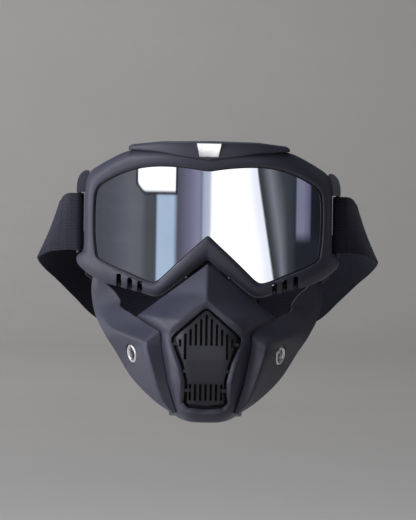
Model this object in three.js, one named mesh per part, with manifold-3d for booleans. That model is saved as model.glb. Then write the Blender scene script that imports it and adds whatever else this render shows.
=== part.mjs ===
// Motorcycle goggles with a clip-on face mask and an elastic head strap.
// Millimetres. +X is to the right as seen from the front, +Y runs from the lens back to the head, +Z is up.
// The origin lies on the middle of the face seal, level with the middle of the lens.
// "left" and "right" in names are as seen from the front.
import * as THREE from 'three';
import { LoftGeometry } from 'three/addons/geometries/LoftGeometry.js';
import { mergeVertices } from 'three/addons/utils/BufferGeometryUtils.js';
import Module from 'manifold-3d';

const wasm = await Module();
wasm.setup();

// ---- driving dimensions ----
const LENS_RADIUS = 119; // the lens is part of an upright cylinder
const LENS_FRONT = -52; // y of the middle of the lens face
const LENS_THICK = 1.8;
const FRAME_DEPTH = 15; // from the lens face to the back of the frame
const LIP_BACK = -0.4; // back of the lip that holds the lens edge
const SEAT = 3.4; // from the lens opening out to the wall of the lens seat
const WALL = 2.2; // moulded wall of frame and mask
const GAP = 0.3; // between pieces that touch
const FOAM_DEPTH = 13;
const LINER = 1.6;
const STRAP_WIDTH = 40;
const STRAP_THICK = 1.7;
const STRAP_MIDDLE = -1.2; // z of the middle of the strap at its slots
const POST = new THREE.Vector2(90.8, -6); // x, y of the outrigger's post
const POST_RADIUS = 1.5;
const REAR_RUN = 48; // half the straight run of the strap behind the head
const RIVET_AT = 8.2; // station along the cheek panel where the rivet sits
const RIVET_ACROSS = 0.77; // from the panel's inner edge, 0, to its outer edge, 1
const SLOT_WIDTH = 1.7; // breathing slots of the grille
const SLOT_PITCH = 3.6;

const root = new THREE.Group();

// ---- outlines in the front view: x, z on the +X side ----
// Each outline runs from the middle of the top, round the side, to the middle of the bottom.
const OUTLINE_STEPS = [10, 6, 4, 10, 8];
const LENS_OPENING = [
  [[0, 35.6], [13.5, 37.6], [28, 38.7], [40, 38.4], [50.5, 36.7], [64, 31.9], [76, 25]],
  [[76, 25], [79.2, 19.5], [80, 5], [79.6, -12], [78.6, -21]],
  [[78.6, -21], [77.9, -24.6], [76.3, -27]],
  [[76.3, -27], [67, -31.8], [54, -37], [44, -41.3], [37, -42.8], [32.5, -40.4]],
  [[32.5, -40.4], [20, -28.2], [0, -9.7]],
];
const FRAME_OUTLINE = [
  [[0, 51.5], [30, 51], [54, 49.2], [65, 45], [76, 39], [84, 33.8]],
  [[84, 33.8], [86.3, 26], [86.9, 15], [86.9, -14], [87.2, -22.2]],
  [[87.2, -22.2], [91, -24.2], [92.3, -26.8], [91.9, -29.4], [90, -32.5]],
  [[90, -32.5], [82, -38.5], [73, -43], [64, -45.5], [46, -49.7], [36, -52.3], [29.5, -50]],
  [[29.5, -50], [15, -38.2], [0, -26]],
];

// ---- small geometry helpers ----
const sag = (x) => LENS_RADIUS - Math.sqrt(LENS_RADIUS ** 2 - x * x);
const lensY = (x) => LENS_FRONT + sag(x);
const mix = THREE.MathUtils.lerp;
const UP = new THREE.Vector3(0, 0, 1);
const BACK = new THREE.Vector3(0, 1, 0);

// A value read off a list of [key, value, ...] rows whose keys rise.
function along(rows, key, column = 1) {
  if (key <= rows[0][0]) return rows[0][column];
  const next = rows.findIndex((row) => row[0] >= key);
  if (next < 0) return rows.at(-1)[column];
  const [a, b] = [rows[next - 1], rows[next]];
  return mix(a[column], b[column], (key - a[0]) / (b[0] - a[0]));
}

function outlineLoop(stretches) {
  const half = [];
  stretches.forEach((stretch, i) => {
    const curve = new THREE.SplineCurve(stretch.map(([x, z]) => new THREE.Vector2(x, z)));
    half.push(...curve.getSpacedPoints(OUTLINE_STEPS[i]).slice(i ? 1 : 0));
  });
  const mirrored = half.slice(1, -1).reverse().map((p) => new THREE.Vector2(-p.x, p.y));
  return half.concat(mirrored);
}

// Joins shared corners, drops collapsed triangles and turns the faces outwards.
function closedBody(geometry) {
  const bare = new THREE.BufferGeometry();
  bare.setAttribute('position', geometry.getAttribute('position'));
  bare.setIndex(geometry.index);
  const merged = mergeVertices(bare, 1e-3);
  const corners = merged.index.array;
  const triangles = [];
  for (let i = 0; i < corners.length; i += 3) {
    const [a, b, c] = corners.slice(i, i + 3);
    if (a !== b && b !== c && c !== a) triangles.push([a, b, c]);
  }
  const at = (i) => new THREE.Vector3().fromBufferAttribute(merged.attributes.position, i);
  const volume = triangles.reduce((sum, [a, b, c]) => sum + at(a).dot(at(b).cross(at(c))), 0);
  merged.setIndex(triangles.flatMap(([a, b, c]) => (volume > 0 ? [a, b, c] : [a, c, b])));
  merged.computeVertexNormals();
  return merged;
}

function toSolid(geometry) {
  const body = closedBody(geometry);
  const vertProperties = new Float32Array(body.attributes.position.array);
  const triVerts = new Uint32Array(body.index.array);
  return new wasm.Manifold(new wasm.Mesh({ numProp: 3, vertProperties, triVerts }));
}

function fromSolid(solid) {
  const mesh = solid.getMesh();
  const geometry = new THREE.BufferGeometry();
  geometry.setAttribute('position', new THREE.BufferAttribute(new Float32Array(mesh.vertProperties), 3));
  geometry.setIndex(new THREE.BufferAttribute(new Uint32Array(mesh.triVerts), 1));
  geometry.computeVertexNormals();
  return geometry;
}

function cut(geometry, ...tools) {
  let solid = toSolid(geometry);
  for (const tool of tools) solid = solid.subtract(toSolid(tool));
  return fromSolid(solid);
}

function finish(color, roughness, metalness = 0) {
  return new THREE.MeshStandardMaterial({ color, roughness, metalness });
}
const PLASTIC = () => finish(0x2b2a33, 0.55);
const RUBBER = () => finish(0x1a1a1c, 0.8);
const FOAM = () => finish(0x1c1c1e, 1);
const WEBBING = () => finish(0x1e1e24, 0.9);
const METAL = () => finish(0xc8c8c8, 0.25, 1);

function place(name, geometry, material) {
  const mesh = new THREE.Mesh(closedBody(geometry), material);
  mesh.name = name;
  root.add(mesh);
  return mesh;
}

// The piece on the right is mirrored for the left.
function placePair(name, geometry, material) {
  place(name + '_right', geometry, material());
  place(name + '_left', geometry, material()).scale.x = -1;
}

function box(x, y, z, width, depth, height) {
  return new THREE.BoxGeometry(width, depth, height).translate(x, y, z);
}

// A flat outline in x, z pushed back along y, optionally bent with the lens.
function slab(points, front, depth, { bent = false, bevel = 0, hole = null } = {}) {
  const shape = new THREE.Shape(points.map(([x, z]) => new THREE.Vector2(x, z)));
  if (hole) shape.holes.push(new THREE.Path(hole.map(([x, z]) => new THREE.Vector2(x, z)).reverse()));
  const geometry = new THREE.ExtrudeGeometry(shape, {
    depth: depth - 2 * bevel, bevelEnabled: bevel > 0, bevelSize: bevel, bevelThickness: bevel,
    bevelOffset: -bevel, bevelSegments: 1,
  });
  const spots = geometry.attributes.position;
  for (let i = 0; i < spots.count; i++) {
    const [x, z, back] = [spots.getX(i), spots.getY(i), spots.getZ(i) + bevel];
    spots.setXYZ(i, x, front + back + (bent ? lensY(x) : 0), z);
  }
  return geometry;
}

// A closed loft through flat sections, wound so that its sides and its end caps all face out.
function loft(sections) {
  const middle = (section) =>
    section.reduce((sum, p) => sum.add(p), new THREE.Vector3()).divideScalar(section.length);
  const [first, second] = sections.map(middle);
  const spokes = sections[0].map((p) => p.clone().sub(first));
  const area = new THREE.Vector3();
  spokes.forEach((spoke, i) => area.add(spoke.clone().cross(spokes[(i + 1) % spokes.length])));
  if (area.dot(second.sub(first)) < 0) sections.forEach((section) => section.reverse());
  return new LoftGeometry(sections, { capStart: true, capEnd: true });
}

function mirrorOutline(half) {
  const offMiddle = half.filter(([x]) => x > 0);
  return half.concat(offMiddle.reverse().map(([x, z]) => [-x, z]));
}

// A curved sheet of even thickness: spot(u, v) is its front, u across to +X and v down, each from 0 to 1.
// With squareEdge its u = 0 edge is cut straight back along y.
function shell(across, down, thickness, spot, squareEdge = false) {
  const front = (i, j) => spot(i / across, j / down);
  const normal = (i, j) => {
    const side = front(Math.min(i + 1, across), j).sub(front(Math.max(i - 1, 0), j));
    const drop = front(i, Math.min(j + 1, down)).sub(front(i, Math.max(j - 1, 0)));
    return side.cross(drop).normalize();
  };
  const geometry = new THREE.BoxGeometry(1, 1, 1, across, 1, down);
  const spots = geometry.attributes.position;
  for (let k = 0; k < spots.count; k++) {
    const i = Math.round((spots.getX(k) + 0.5) * across);
    const j = Math.round((0.5 - spots.getZ(k)) * down);
    const point = front(i, j);
    if (spots.getY(k) > 0) point.addScaledVector(squareEdge && i === 0 ? BACK : normal(i, j), thickness);
    spots.setXYZ(k, point.x, point.y, point.z);
  }
  return geometry;
}

// ---- goggle frame ----
const opening = outlineLoop(LENS_OPENING);
const rim = outlineLoop(FRAME_OUTLINE);
const outwards = opening.map((a, i) => rim[i].clone().sub(a));

function spotOnRing(i, distance, depth) {
  const k = i % opening.length;
  const p = opening[k].clone().addScaledVector(outwards[k].clone().normalize(), distance);
  return new THREE.Vector3(p.x, lensY(p.x) + depth, p.y);
}

// A ring round the lens opening: section(width) lists [distance outwards, depth behind the lens face].
function ring(section, stride = 1) {
  const sections = [];
  for (let i = 0; i <= opening.length; i += stride) {
    const width = outwards[i % opening.length].length();
    sections.push(section(width).map(([distance, depth]) => spotOnRing(i, distance, depth)));
  }
  return new LoftGeometry(sections);
}

const frameSection = (width) => [
  [0, LIP_BACK], [0.3, -1.8], [2.2, -3.2], [0.55 * width, -3], [width - 1.2, -0.6], [width, 1.5],
  [width, FRAME_DEPTH], [SEAT, FRAME_DEPTH], [SEAT, FRAME_DEPTH - WALL],
  [width - WALL, FRAME_DEPTH - WALL], [width - WALL, 2.8], [SEAT, 2.8], [SEAT, LIP_BACK],
];
const frameEnvelope = (width) => [
  [-0.3, -0.7], [0, -2.2], [2, -3.6], [0.56 * width, -3.4], [width - 1, -1], [width + 0.4, 1.3],
  [width + 0.4, FRAME_DEPTH + 0.4], [-0.3, FRAME_DEPTH + 0.4],
];

const VENT_NOTCHES = [[46.8, -41.5], [53.8, -39.3], [61.5, -37]]; // x and top z of each lower vent
const notches = [-1, 1].flatMap((side) => VENT_NOTCHES.map(([x, top]) =>
  box(side * x, lensY(x) + 1.5, top - 8, 3, 12, 16)));
const topVents = [-38, -17, 17, 38].map((x) => box(x, lensY(x) + 8, 50, 14, 4, 12));
place('frame', cut(ring(frameSection), ...notches, ...topVents), PLASTIC());

// ---- lens and its gasket ----
const LENS_LAP = 2.6; // the lens edge reaches this far behind the frame's lip
const HALF = opening.length / 2;
const lensEdge = Array.from({ length: HALF + 1 }, (_, i) => spotOnRing(i, LENS_LAP, 0));
const widest = lensEdge.reduce((best, p, i) => (p.x > lensEdge[best].x ? i : best), 0);
const upperEdge = lensEdge.slice(0, widest + 1).map((p) => [p.x, p.z]);
const lowerEdge = lensEdge.slice(widest).reverse().map((p) => [p.x, p.z]);
const LENS_STATIONS = 24; // from the middle to each end
const lensReach = lensEdge[widest].x - 0.3;
const lensSections = [];
for (let k = -LENS_STATIONS; k <= LENS_STATIONS; k++) {
  const x = lensReach * Math.sin((k / LENS_STATIONS) * Math.PI / 2);
  const [top, bottom] = [along(upperEdge, Math.abs(x)), along(lowerEdge, Math.abs(x))];
  const corners = [[0, top], [0, bottom], [LENS_THICK, bottom], [LENS_THICK, top]];
  lensSections.push(corners.map(([back, z]) => new THREE.Vector3(x, lensY(x) + back, z)));
}
place('lens', loft(lensSections), finish(0xd8dbe2, 0.05, 1));

const GASKET_BACK = 4.6;
place('lens_gasket', ring(() => [
  [-0.3, LENS_THICK + GAP], [SEAT - GAP, LENS_THICK + GAP], [SEAT - GAP, GASKET_BACK], [0.4, GASKET_BACK],
], 2), RUBBER());

// ---- foam against the face ----
const foamOuter = (width) => Math.min(width - 1.5, 8.5);
const foamFront = FRAME_DEPTH + 2 * GAP;
const foamBack = foamFront + FOAM_DEPTH;
const linerFront = foamBack + 2 * GAP;
place('face_foam', ring((width) => [
  [1.2, foamFront], [foamOuter(width), foamFront], [foamOuter(width) + 0.8, foamBack - 3],
  [foamOuter(width) - 0.6, foamBack], [2, foamBack], [0.8, foamBack - 3],
], 2), FOAM());
place('foam_liner', ring((width) => [
  [2, linerFront], [foamOuter(width) - 0.6, linerFront],
  [foamOuter(width) - 1.4, linerFront + LINER], [2.6, linerFront + LINER],
], 2), finish(0x26262a, 1));

// ---- vent foam inside the channel of the frame ----
function ventStrip(first, last, from = 4.4, to = FRAME_DEPTH - WALL - 0.8) {
  const sections = [];
  for (let i = first; i <= last; i++) {
    const k = (i + opening.length) % opening.length;
    const wall = outwards[k].length() - WALL - 0.4;
    const corners = [[wall - 1.8, from], [wall, from], [wall, to], [wall - 1.8, to]];
    sections.push(corners.map(([distance, depth]) => spotOnRing(k, distance, depth)));
  }
  return loft(sections);
}
const LOWER_VENT = [22, 27]; // outline stations between which the lower vent foam lies
place('upper_vent_foam', ventStrip(-6, 6), FOAM());
placePair('lower_vent_foam', ventStrip(...LOWER_VENT), FOAM);

// ---- brow cover and badge ----
const BROW_HALF = 56;
const browTop = [[0, 56.2], [33, 55.6], [54.6, 53.2], [BROW_HALF, 51.6]];
const browCrease = [[0, 42.8], [17.5, 45.2], [34, 48.2], [BROW_HALF, 50]];
const browProud = (x) => mix(6, 3.2, Math.abs(x) / BROW_HALF);
const BADGE = [[8.6, 54.4], [6.7, 44.9]]; // half widths and heights of the top and bottom edges
const BADGE_DEPTH = 1.1;
const badgeFront = LENS_FRONT - browProud(0) - 0.2;
const trapezoid = (grow) => mirrorOutline([
  [BADGE[0][0] + grow, BADGE[0][1] + grow], [BADGE[1][0] + grow, BADGE[1][1] - grow],
]);
const BROW_STATIONS = 10;
const browSections = [];
for (let k = -BROW_STATIONS; k <= BROW_STATIONS; k++) {
  const x = (k / BROW_STATIONS) * BROW_HALF;
  const [top, crease] = [along(browTop, Math.abs(x)), along(browCrease, Math.abs(x))];
  const rise = top - crease;
  const front = lensY(x) - browProud(x);
  const back = lensY(x) + FRAME_DEPTH;
  const section = [
    [front + 2, crease - 0.2], [front + 0.4, crease], [front, crease + 0.07 * rise],
    [front + 0.4, top - 0.16 * rise], [front + 1.6, top - 0.02 * rise], [front + 3, top],
    [back - 2, top - 0.06 * rise],
    [back, top - 0.22 * rise], [back, crease - 0.2],
  ];
  browSections.push(section.map(([y, z]) => new THREE.Vector3(x, y, z)));
}
const badgePocket = slab(trapezoid(0.5), badgeFront - 5, 5 + BADGE_DEPTH + GAP);
place('brow_cover', cut(
  loft(browSections), ring(frameEnvelope), badgePocket,
), PLASTIC());
place('badge', slab(trapezoid(0), badgeFront, BADGE_DEPTH, { bevel: 0.25 }), METAL());

// ---- outriggers that carry the strap ----
const SLOT_TOP = STRAP_MIDDLE + STRAP_WIDTH / 2 + 0.6;
const SLOT_BOTTOM = STRAP_MIDDLE - STRAP_WIDTH / 2 - 0.6;
const bump = new THREE.SplineCurve([[84, 34.6], [87, 34.6], [90.4, 31.5], [92.2, 26.5], [92.6, SLOT_TOP + 1]]
  .map(([x, z]) => new THREE.Vector2(x, z))).getSpacedPoints(8).map((p) => [p.x, p.y]);
const outriggerOutline = bump.concat([
  [92.6, SLOT_TOP], [84, SLOT_TOP],
]);
const post = new THREE.CylinderGeometry(POST_RADIUS, POST_RADIUS, SLOT_TOP - SLOT_BOTTOM + 3, 12)
  .rotateX(Math.PI / 2).translate(POST.x, POST.y, STRAP_MIDDLE);
const outriggerBody = toSolid(slab(outriggerOutline, 1.2, 6.4, { bent: true })).add(toSolid(post));
placePair('outrigger', cut(fromSolid(outriggerBody), ring(frameEnvelope)), PLASTIC);

// ---- strap ----
// The end loop wraps the post: out in front of it, in through the slot and back out behind it.
const POST_LEAN = Math.PI / 4; // the outrigger runs back and outwards at this angle
const outward = new THREE.Vector2(Math.cos(POST_LEAN), Math.sin(POST_LEAN));
const forward = new THREE.Vector2(Math.sin(POST_LEAN), -Math.cos(POST_LEAN));
const LOOP_RADIUS = POST_RADIUS + GAP + STRAP_THICK / 2;
const LOOP_TAIL = 3.2;
const SWING_ROOM = 2.2; // keeps the swinging band clear of the sewn end
const loopSpot = (reach, offset) =>
  POST.clone().addScaledVector(outward, reach).addScaledVector(forward, offset);

function bandAlong(points, sides, width, thickness) {
  const sections = points.map((p, i) => {
    const ahead = points[Math.min(i + 1, points.length - 1)];
    const run = ahead.clone().sub(points[Math.max(i - 1, 0)]).normalize();
    const up = sides[i].clone().addScaledVector(run, -sides[i].dot(run)).normalize();
    const out = run.clone().cross(up);
    const corner = (a, b) =>
      p.clone().addScaledVector(up, a * width / 2).addScaledVector(out, b * thickness / 2);
    return [corner(1, 1), corner(-1, 1), corner(-1, -1), corner(1, -1)];
  });
  return loft(sections);
}

const loopPoints = [loopSpot(LOOP_TAIL, LOOP_RADIUS)];
for (let k = 0; k <= 8; k++) {
  const turn = (k / 8) * Math.PI;
  loopPoints.push(loopSpot(-LOOP_RADIUS * Math.sin(turn), LOOP_RADIUS * Math.cos(turn)));
}
loopPoints.push(loopSpot(LOOP_TAIL, -LOOP_RADIUS));
const flatLoop = loopPoints.map((p) => new THREE.Vector3(p.x, p.y, STRAP_MIDDLE));
placePair('strap_end', bandAlong(flatLoop, flatLoop.map(() => UP), STRAP_WIDTH, STRAP_THICK), WEBBING);

// The free band: middle line of the +X side and how far its top edge leans inwards.
const strapStart = loopSpot(LOOP_TAIL + SWING_ROOM, LOOP_RADIUS);
const STRAP_ROUTE = [
  [strapStart.x, strapStart.y, STRAP_MIDDLE, 0], [100.5, 3, -1.6, -0.1], [107.5, 20, -4, -0.3],
  [112.8, 42, -9.9, -0.42], [108, 66, -18.2, -0.46], [97.6, 86, -28.4, -0.44], [84.6, 101, -41.7, -0.34],
  [69.9, 111, -55.6, -0.2], [REAR_RUN + 4, 114, -61, -0.05], [REAR_RUN, 114, -62, 0], [0, 114, -62, 0],
];
const strapCurve = new THREE.CatmullRomCurve3(
  STRAP_ROUTE.map(([x, y, z]) => new THREE.Vector3(x, y, z)), false, 'centripetal',
);
const STRAP_STEPS = 30;
const halfStrap = [];
for (let k = 0; k < STRAP_STEPS; k++) {
  const t = k / STRAP_STEPS;
  const spot = t * (STRAP_ROUTE.length - 1);
  const before = STRAP_ROUTE[Math.floor(spot)];
  const after = STRAP_ROUTE[Math.floor(spot) + 1];
  halfStrap.push([strapCurve.getPoint(t), new THREE.Vector3(mix(before[3], after[3], spot % 1), 0, 1)]);
}
const mirrorX = (v) => new THREE.Vector3(-v.x, v.y, v.z);
const otherHalf = halfStrap.slice().reverse().map(([p, side]) => [mirrorX(p), mirrorX(side)]);
const band = (entries, width, thickness) =>
  bandAlong(entries.map(([p]) => p), entries.map(([, side]) => side), width, thickness);
place('strap', band(halfStrap.concat(otherHalf), STRAP_WIDTH, STRAP_THICK), WEBBING());

// Silicone grip lines on the inside of the rear run, and the length adjusters that ride on it.
const rear = new THREE.Vector3(0, STRAP_ROUTE.at(-1)[1], STRAP_ROUTE.at(-1)[2]);
const gripY = rear.y - STRAP_THICK / 2 - GAP - 0.4;
[['strap_grip_upper', 9], ['strap_grip_lower', -9]].forEach(([name, up]) => {
  place(name, box(0, gripY, rear.z + up, 26, 0.8, 5), RUBBER());
});
const SLIDER = { x: 30, width: 13, height: STRAP_WIDTH + 7, depth: 4.6 };
const sliderHole = STRAP_WIDTH + 0.8;
const sliderBody = cut(
  box(0, rear.y, rear.z, SLIDER.width, SLIDER.depth, SLIDER.height),
  box(0, rear.y, rear.z, SLIDER.width + 2, STRAP_THICK + 0.7, sliderHole),
  box(0, rear.y + SLIDER.depth / 2, rear.z, SLIDER.width - 8, SLIDER.depth, sliderHole),
);
placePair('strap_slider', sliderBody.translate(SLIDER.x, 0, 0), PLASTIC);

// ---- mask ----
// Over the mouth the front is a height y(x, z): a ridge down the middle that falls away to the crease.
const SPINE = [[-137.5, -72], [-133, -78], [-127, -80.5], [-110, -83], [-94, -82.5], [-80, -80.5],
  [-66, -77.5], [-53, -73], [-41, -66], [-29, -58]]; // z, y
const CREASE = [[-137.5, 12, 4], [-131.5, 18.8, 10], [-122.5, 22.2, 13], [-112, 25.2, 15],
  [-101, 27.5, 17], [-92, 29.2, 18], [-84, 30.4, 19], [-76.6, 31.6, 21], [-65.3, 47.5, 40],
  [-29, 1, 1]]; // z, half width, fall
const flatness = (z) => mix(1, 4, THREE.MathUtils.smoothstep(-z, 48, 84));
const spineY = (z) => along(SPINE, z);
const faceY = (x, z) =>
  spineY(z) + along(CREASE, z, 2) * (Math.abs(x) / along(CREASE, z)) ** flatness(z);

// Side edge of the mouth piece from the tip under the lens to the chin: x, z and the spine z level with it.
const MOUTH_EDGE = [[47.5, -65.3, -29], [40, -70.6, -37], [31.6, -76.6, -47], [30.4, -84, -60],
  [29.2, -92, -74], [27.5, -101, -90], [25.2, -112, -106], [22.2, -122.5, -121], [18.4, -131.5, -137]];
const MOUTH_ROWS = 24;
function mouthSpot(u, v) {
  const level = Math.min(v * MOUTH_ROWS, MOUTH_ROWS - 1) / (MOUTH_ROWS - 1);
  const rows = MOUTH_EDGE.map((row, i) => [i / (MOUTH_EDGE.length - 1), ...row]);
  const [edgeX, edgeZ, spineZ] = [1, 2, 3].map((column) => along(rows, level, column));
  const side = 2 * u - 1;
  const x = side * edgeX;
  const z = mix(spineZ, edgeZ, Math.abs(side) ** mix(1, 2.6, level ** 3));
  const point = new THREE.Vector3(x, faceY(x, z), z);
  if (v * MOUTH_ROWS > MOUTH_ROWS - 0.5) point.add(new THREE.Vector3(-x * 0.04, 13, -0.2));
  return point;
}

// Grille recess: a bevelled rim slopes in from the face of the mask to the edge of the panel.
const RECESS_DEPTH = 2.6;
const RECESS_RIM = mirrorOutline([[0, -52.1], [23, -70.4], [27.2, -77], [27.4, -82], [21, -97], [18, -109],
  [18, -119], [18, -126], [13.5, -130.6], [0, -132.6]]);
const RECESS_FLOOR = mirrorOutline([[0, -58], [21, -76], [24, -79.6], [24, -82], [17.6, -97], [14.4, -109],
  [14.4, -118], [15.2, -124], [12, -127.4], [0, -128.8]]);
const onFace = ([x, z], back) => new THREE.Vector3(x, faceY(x, z) + back, z);
const bevelSections = RECESS_RIM.map((edge, i) => {
  const floor = RECESS_FLOOR[i];
  const backs = [onFace(floor, RECESS_DEPTH + WALL), onFace(edge, WALL + 1)];
  return [onFace(edge, -0.2), onFace(floor, RECESS_DEPTH), ...backs];
});
const recessBevel = new LoftGeometry([...bevelSections, bevelSections[0]]);
const CUT_AT = 0.25; // the hole's edge lies this far down the bevel
const recessCutter = slab(RECESS_RIM.map((rim, i) =>
  rim.map((value, axis) => mix(value, RECESS_FLOOR[i][axis], CUT_AT))), -100, 60);
const MOUTH_COLUMNS = 16;
const mouthBody = toSolid(shell(MOUTH_COLUMNS, MOUTH_ROWS, WALL, mouthSpot));
const openMouth = mouthBody.subtract(toSolid(recessCutter));
place('mask_shell', fromSolid(openMouth.add(toSolid(recessBevel))), PLASTIC());

// Cheek panels: stations from the wing's tip down to the chin. Each has its inner edge, ridge and outer edge.
const CHEEK = [
  [[76, -39.5, 0], [77.4, -39.5, 0.6], [80.5, -39.5, 2]],
  [[70.4, -45.3, -9], [77.2, -46.6, -3], [81.5, -47, 0]],
  [[65.5, -49.4, -16], [76.4, -53, -7], [81, -54, -3]],
  [[60.7, -55.8, -23], [74.6, -60, -12], [79.7, -61.5, -7]],
  [[60.2, -60.2, -27], [71.6, -68.4, -20], [77, -69, -13]],
  [[54, -63.8, -36], [66, -75.2, -30.5], [73.5, -75.6, -19]],
  [[47, -67.9, -45], [58.5, -78, -42], [69.5, -82.3, -24]],
  [[40, -72, -53.5], [50.8, -80.6, -54], [64.2, -90, -26]],
  [[32.6, -76.2, -62], [43.6, -83.2, -64.5], [59.5, -97.8, -27]],
  [[31.4, -84, -63.6], [42.3, -88, -67.5], [56.3, -102.8, -31]],
  [[30.2, -92, -65.6], [40.3, -94.5, -69.5], [52.8, -107.6, -36]],
  [[28.5, -101, -67.3], [37.8, -102, -70.5], [48.6, -112.3, -42]],
  [[26.2, -112, -69], [34.2, -112.6, -71.2], [42.3, -118.2, -51]],
  [[23.3, -122.2, -69.8], [29.6, -123, -71], [33.8, -125, -61]],
  [[20.2, -131.4, -69.6], [22.6, -131.6, -69], [25.4, -130.6, -64.5]],
].map((station) => station.map(([x, z, y]) => new THREE.Vector3(x, y, z)));

function cheekSpot(across, station) {
  const row = Math.min(Math.floor(station), CHEEK.length - 2);
  const [upper, lower] = [CHEEK[row], CHEEK[row + 1]].map(([inner, ridge, outer]) =>
    (across < 0.5 ? inner.clone().lerp(ridge, across * 2) : ridge.clone().lerp(outer, across * 2 - 1)));
  return upper.lerp(lower, station - row);
}
const CHEEK_ROWS = CHEEK.length - 1;
const cheek = shell(6, CHEEK_ROWS * 2, WALL, (u, v) => cheekSpot(u, v * CHEEK_ROWS), true);

// Hollow rivet through each cheek, set in a shallow round seat, with a washer behind the panel.
const RIVET = { flange: 6.7, bore: 4.2, barrel: 4.9, seat: 0.9, flangeThick: 1.1, length: 5.6 };
const rivetSpot = cheekSpot(RIVET_ACROSS, RIVET_AT);
const rivetAcross = cheekSpot(RIVET_ACROSS + 0.1, RIVET_AT).sub(cheekSpot(RIVET_ACROSS - 0.1, RIVET_AT));
const rivetDown = cheekSpot(RIVET_ACROSS, RIVET_AT + 0.4).sub(cheekSpot(RIVET_ACROSS, RIVET_AT - 0.4));
const rivetInward = rivetAcross.cross(rivetDown).normalize();
// A turned part whose axis runs inwards from the cheek's face at the rivet; profile rows are [radius, depth].
function turned(profile, sides = 24) {
  const lathe = new THREE.LatheGeometry(profile.map(([r, depth]) => new THREE.Vector2(r, depth)), sides);
  const turn = new THREE.Quaternion().setFromUnitVectors(new THREE.Vector3(0, 1, 0), rivetInward);
  return lathe.applyQuaternion(turn).translate(rivetSpot.x, rivetSpot.y, rivetSpot.z);
}
const disc = (radius, from, to) => turned([[0, from], [radius, from], [radius, to], [0, to]]);
const annulus = (inner, outer, from, to) =>
  turned([[inner, from], [outer, from], [outer, to], [inner, to], [inner, from]]);
placePair('cheek_panel', cut(
  cheek, disc(RIVET.flange + 0.3, -6, RIVET.seat), disc(RIVET.barrel + 0.3, -6, 12),
), PLASTIC);
placePair('rivet', turned([
  [RIVET.bore, -0.1], [RIVET.bore + 0.5, -0.45], [RIVET.flange - 0.5, -0.45], [RIVET.flange, 0],
  [RIVET.flange, RIVET.seat - GAP], [RIVET.barrel, RIVET.seat - GAP], [RIVET.barrel, RIVET.length],
  [RIVET.bore, RIVET.length], [RIVET.bore, -0.1],
]), METAL);
placePair('rivet_washer', annulus(RIVET.barrel + GAP, RIVET.flange, WALL + 1, WALL + 2), METAL);

// ---- grille, filter and its retainer ----
function followFace(geometry, back) {
  const spots = geometry.attributes.position;
  for (let i = 0; i < spots.count; i++) {
    spots.setY(i, spots.getY(i) + faceY(spots.getX(i), spots.getZ(i)) + back);
  }
  return geometry;
}
const PANEL = mirrorOutline([[0, -60.3], [18.6, -76.6], [21.3, -80], [15.4, -97], [12.4, -109],
  [12.4, -119], [12.6, -124.4], [0, -126]]);
const UPPER_SLOTS = [
  [0, -64.5, -84.7], [1, -67.5, -84.7], [2, -71, -84.7], [3, -74.5, -84.7], [4, -78, -93],
]; // number from the middle, top and bottom
const LOWER_SLOTS = { count: 3, top: -111, bottom: -122.5 };
const slots = [];
function addSlot(x, top, bottom) {
  const middle = (top + bottom) / 2;
  slots.push(box(x, spineY(middle) + 5, middle, SLOT_WIDTH, 24, top - bottom));
}
for (const side of [-1, 1]) {
  for (const [k, top, bottom] of UPPER_SLOTS) {
    if (k > 0 || side > 0) addSlot(side * k * SLOT_PITCH, top, bottom);
  }
  for (let k = 0; k <= LOWER_SLOTS.count; k++) {
    if (k > 0 || side > 0) addSlot(side * k * SLOT_PITCH, LOWER_SLOTS.top, LOWER_SLOTS.bottom);
  }
}
// Short bridges reach across the gap round the panel: x of the outer end and z of the middle.
const BRIDGES = [[22.1, -84], [15.3, -102.5], [14, -116]];
const BRIDGE_LENGTH = 4.6;
const bridges = BRIDGES.flatMap(([end, z]) => [-1, 1].map((side) =>
  followFace(box(side * (end - BRIDGE_LENGTH / 2), 1.2, z, BRIDGE_LENGTH, 1.6, 2.4), RECESS_DEPTH)));
let grilleSolid = toSolid(followFace(slab(PANEL, 0, 2), RECESS_DEPTH));
for (const bridge of bridges) grilleSolid = grilleSolid.add(toSolid(bridge));
for (const slot of slots) grilleSolid = grilleSolid.subtract(toSolid(slot));
place('grille', fromSolid(grilleSolid), PLASTIC());

const FILTER_FRONT = -66.5;
const FILTER_THICK = 3;
const FILTER = [[5, -63], [23.5, -78], [23.5, -84], [17, -98], [15, -108], [15, -116]];
place('filter_pad', slab(mirrorOutline(FILTER), FILTER_FRONT, FILTER_THICK), finish(0x8a8a86, 1));
const RETAINER = [[22, -79], [15, -99], [14, -115]];
const RETAINER_HOLE = [[17, -83], [11, -99], [10, -111]];
place('filter_retainer', slab(mirrorOutline(RETAINER), FILTER_FRONT + FILTER_THICK + GAP, 1.4, {
  hole: mirrorOutline(RETAINER_HOLE),
}), PLASTIC());

// ---- snap tabs that hold the mask to the frame, and the soft pads ----
placePair('clip', slab([[71, -52], [76, -52], [79, -44], [86, -39], [86.5, -35], [80.5, -36], [73.5, -46]],
  4.2, 2.4), PLASTIC);
const NOSE_PAD = mirrorOutline([[0, -26.6], [14, -38.6], [14, -46], [0, -34]]);
place('nose_foam', slab(NOSE_PAD, LENS_FRONT + 4, 10), FOAM());
const CHIN_PAD_BACK = 11; // clear of the grille
place('chin_pad', shell(8, 2, 4, (u, v) => {
  const p = mouthSpot(mix(0.12, 0.88, u), mix(0.85, 0.92, v));
  return p.add(new THREE.Vector3(0, CHIN_PAD_BACK, 0));
}), FOAM());

export default root;
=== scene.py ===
"""Looks for the motorcycle goggles with a clip-on face mask and an elastic head strap."""

import math

import bpy
import numpy as np
from bpy.props import FloatProperty, FloatVectorProperty, IntProperty, PointerProperty
from mathutils import Matrix, Vector


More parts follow.
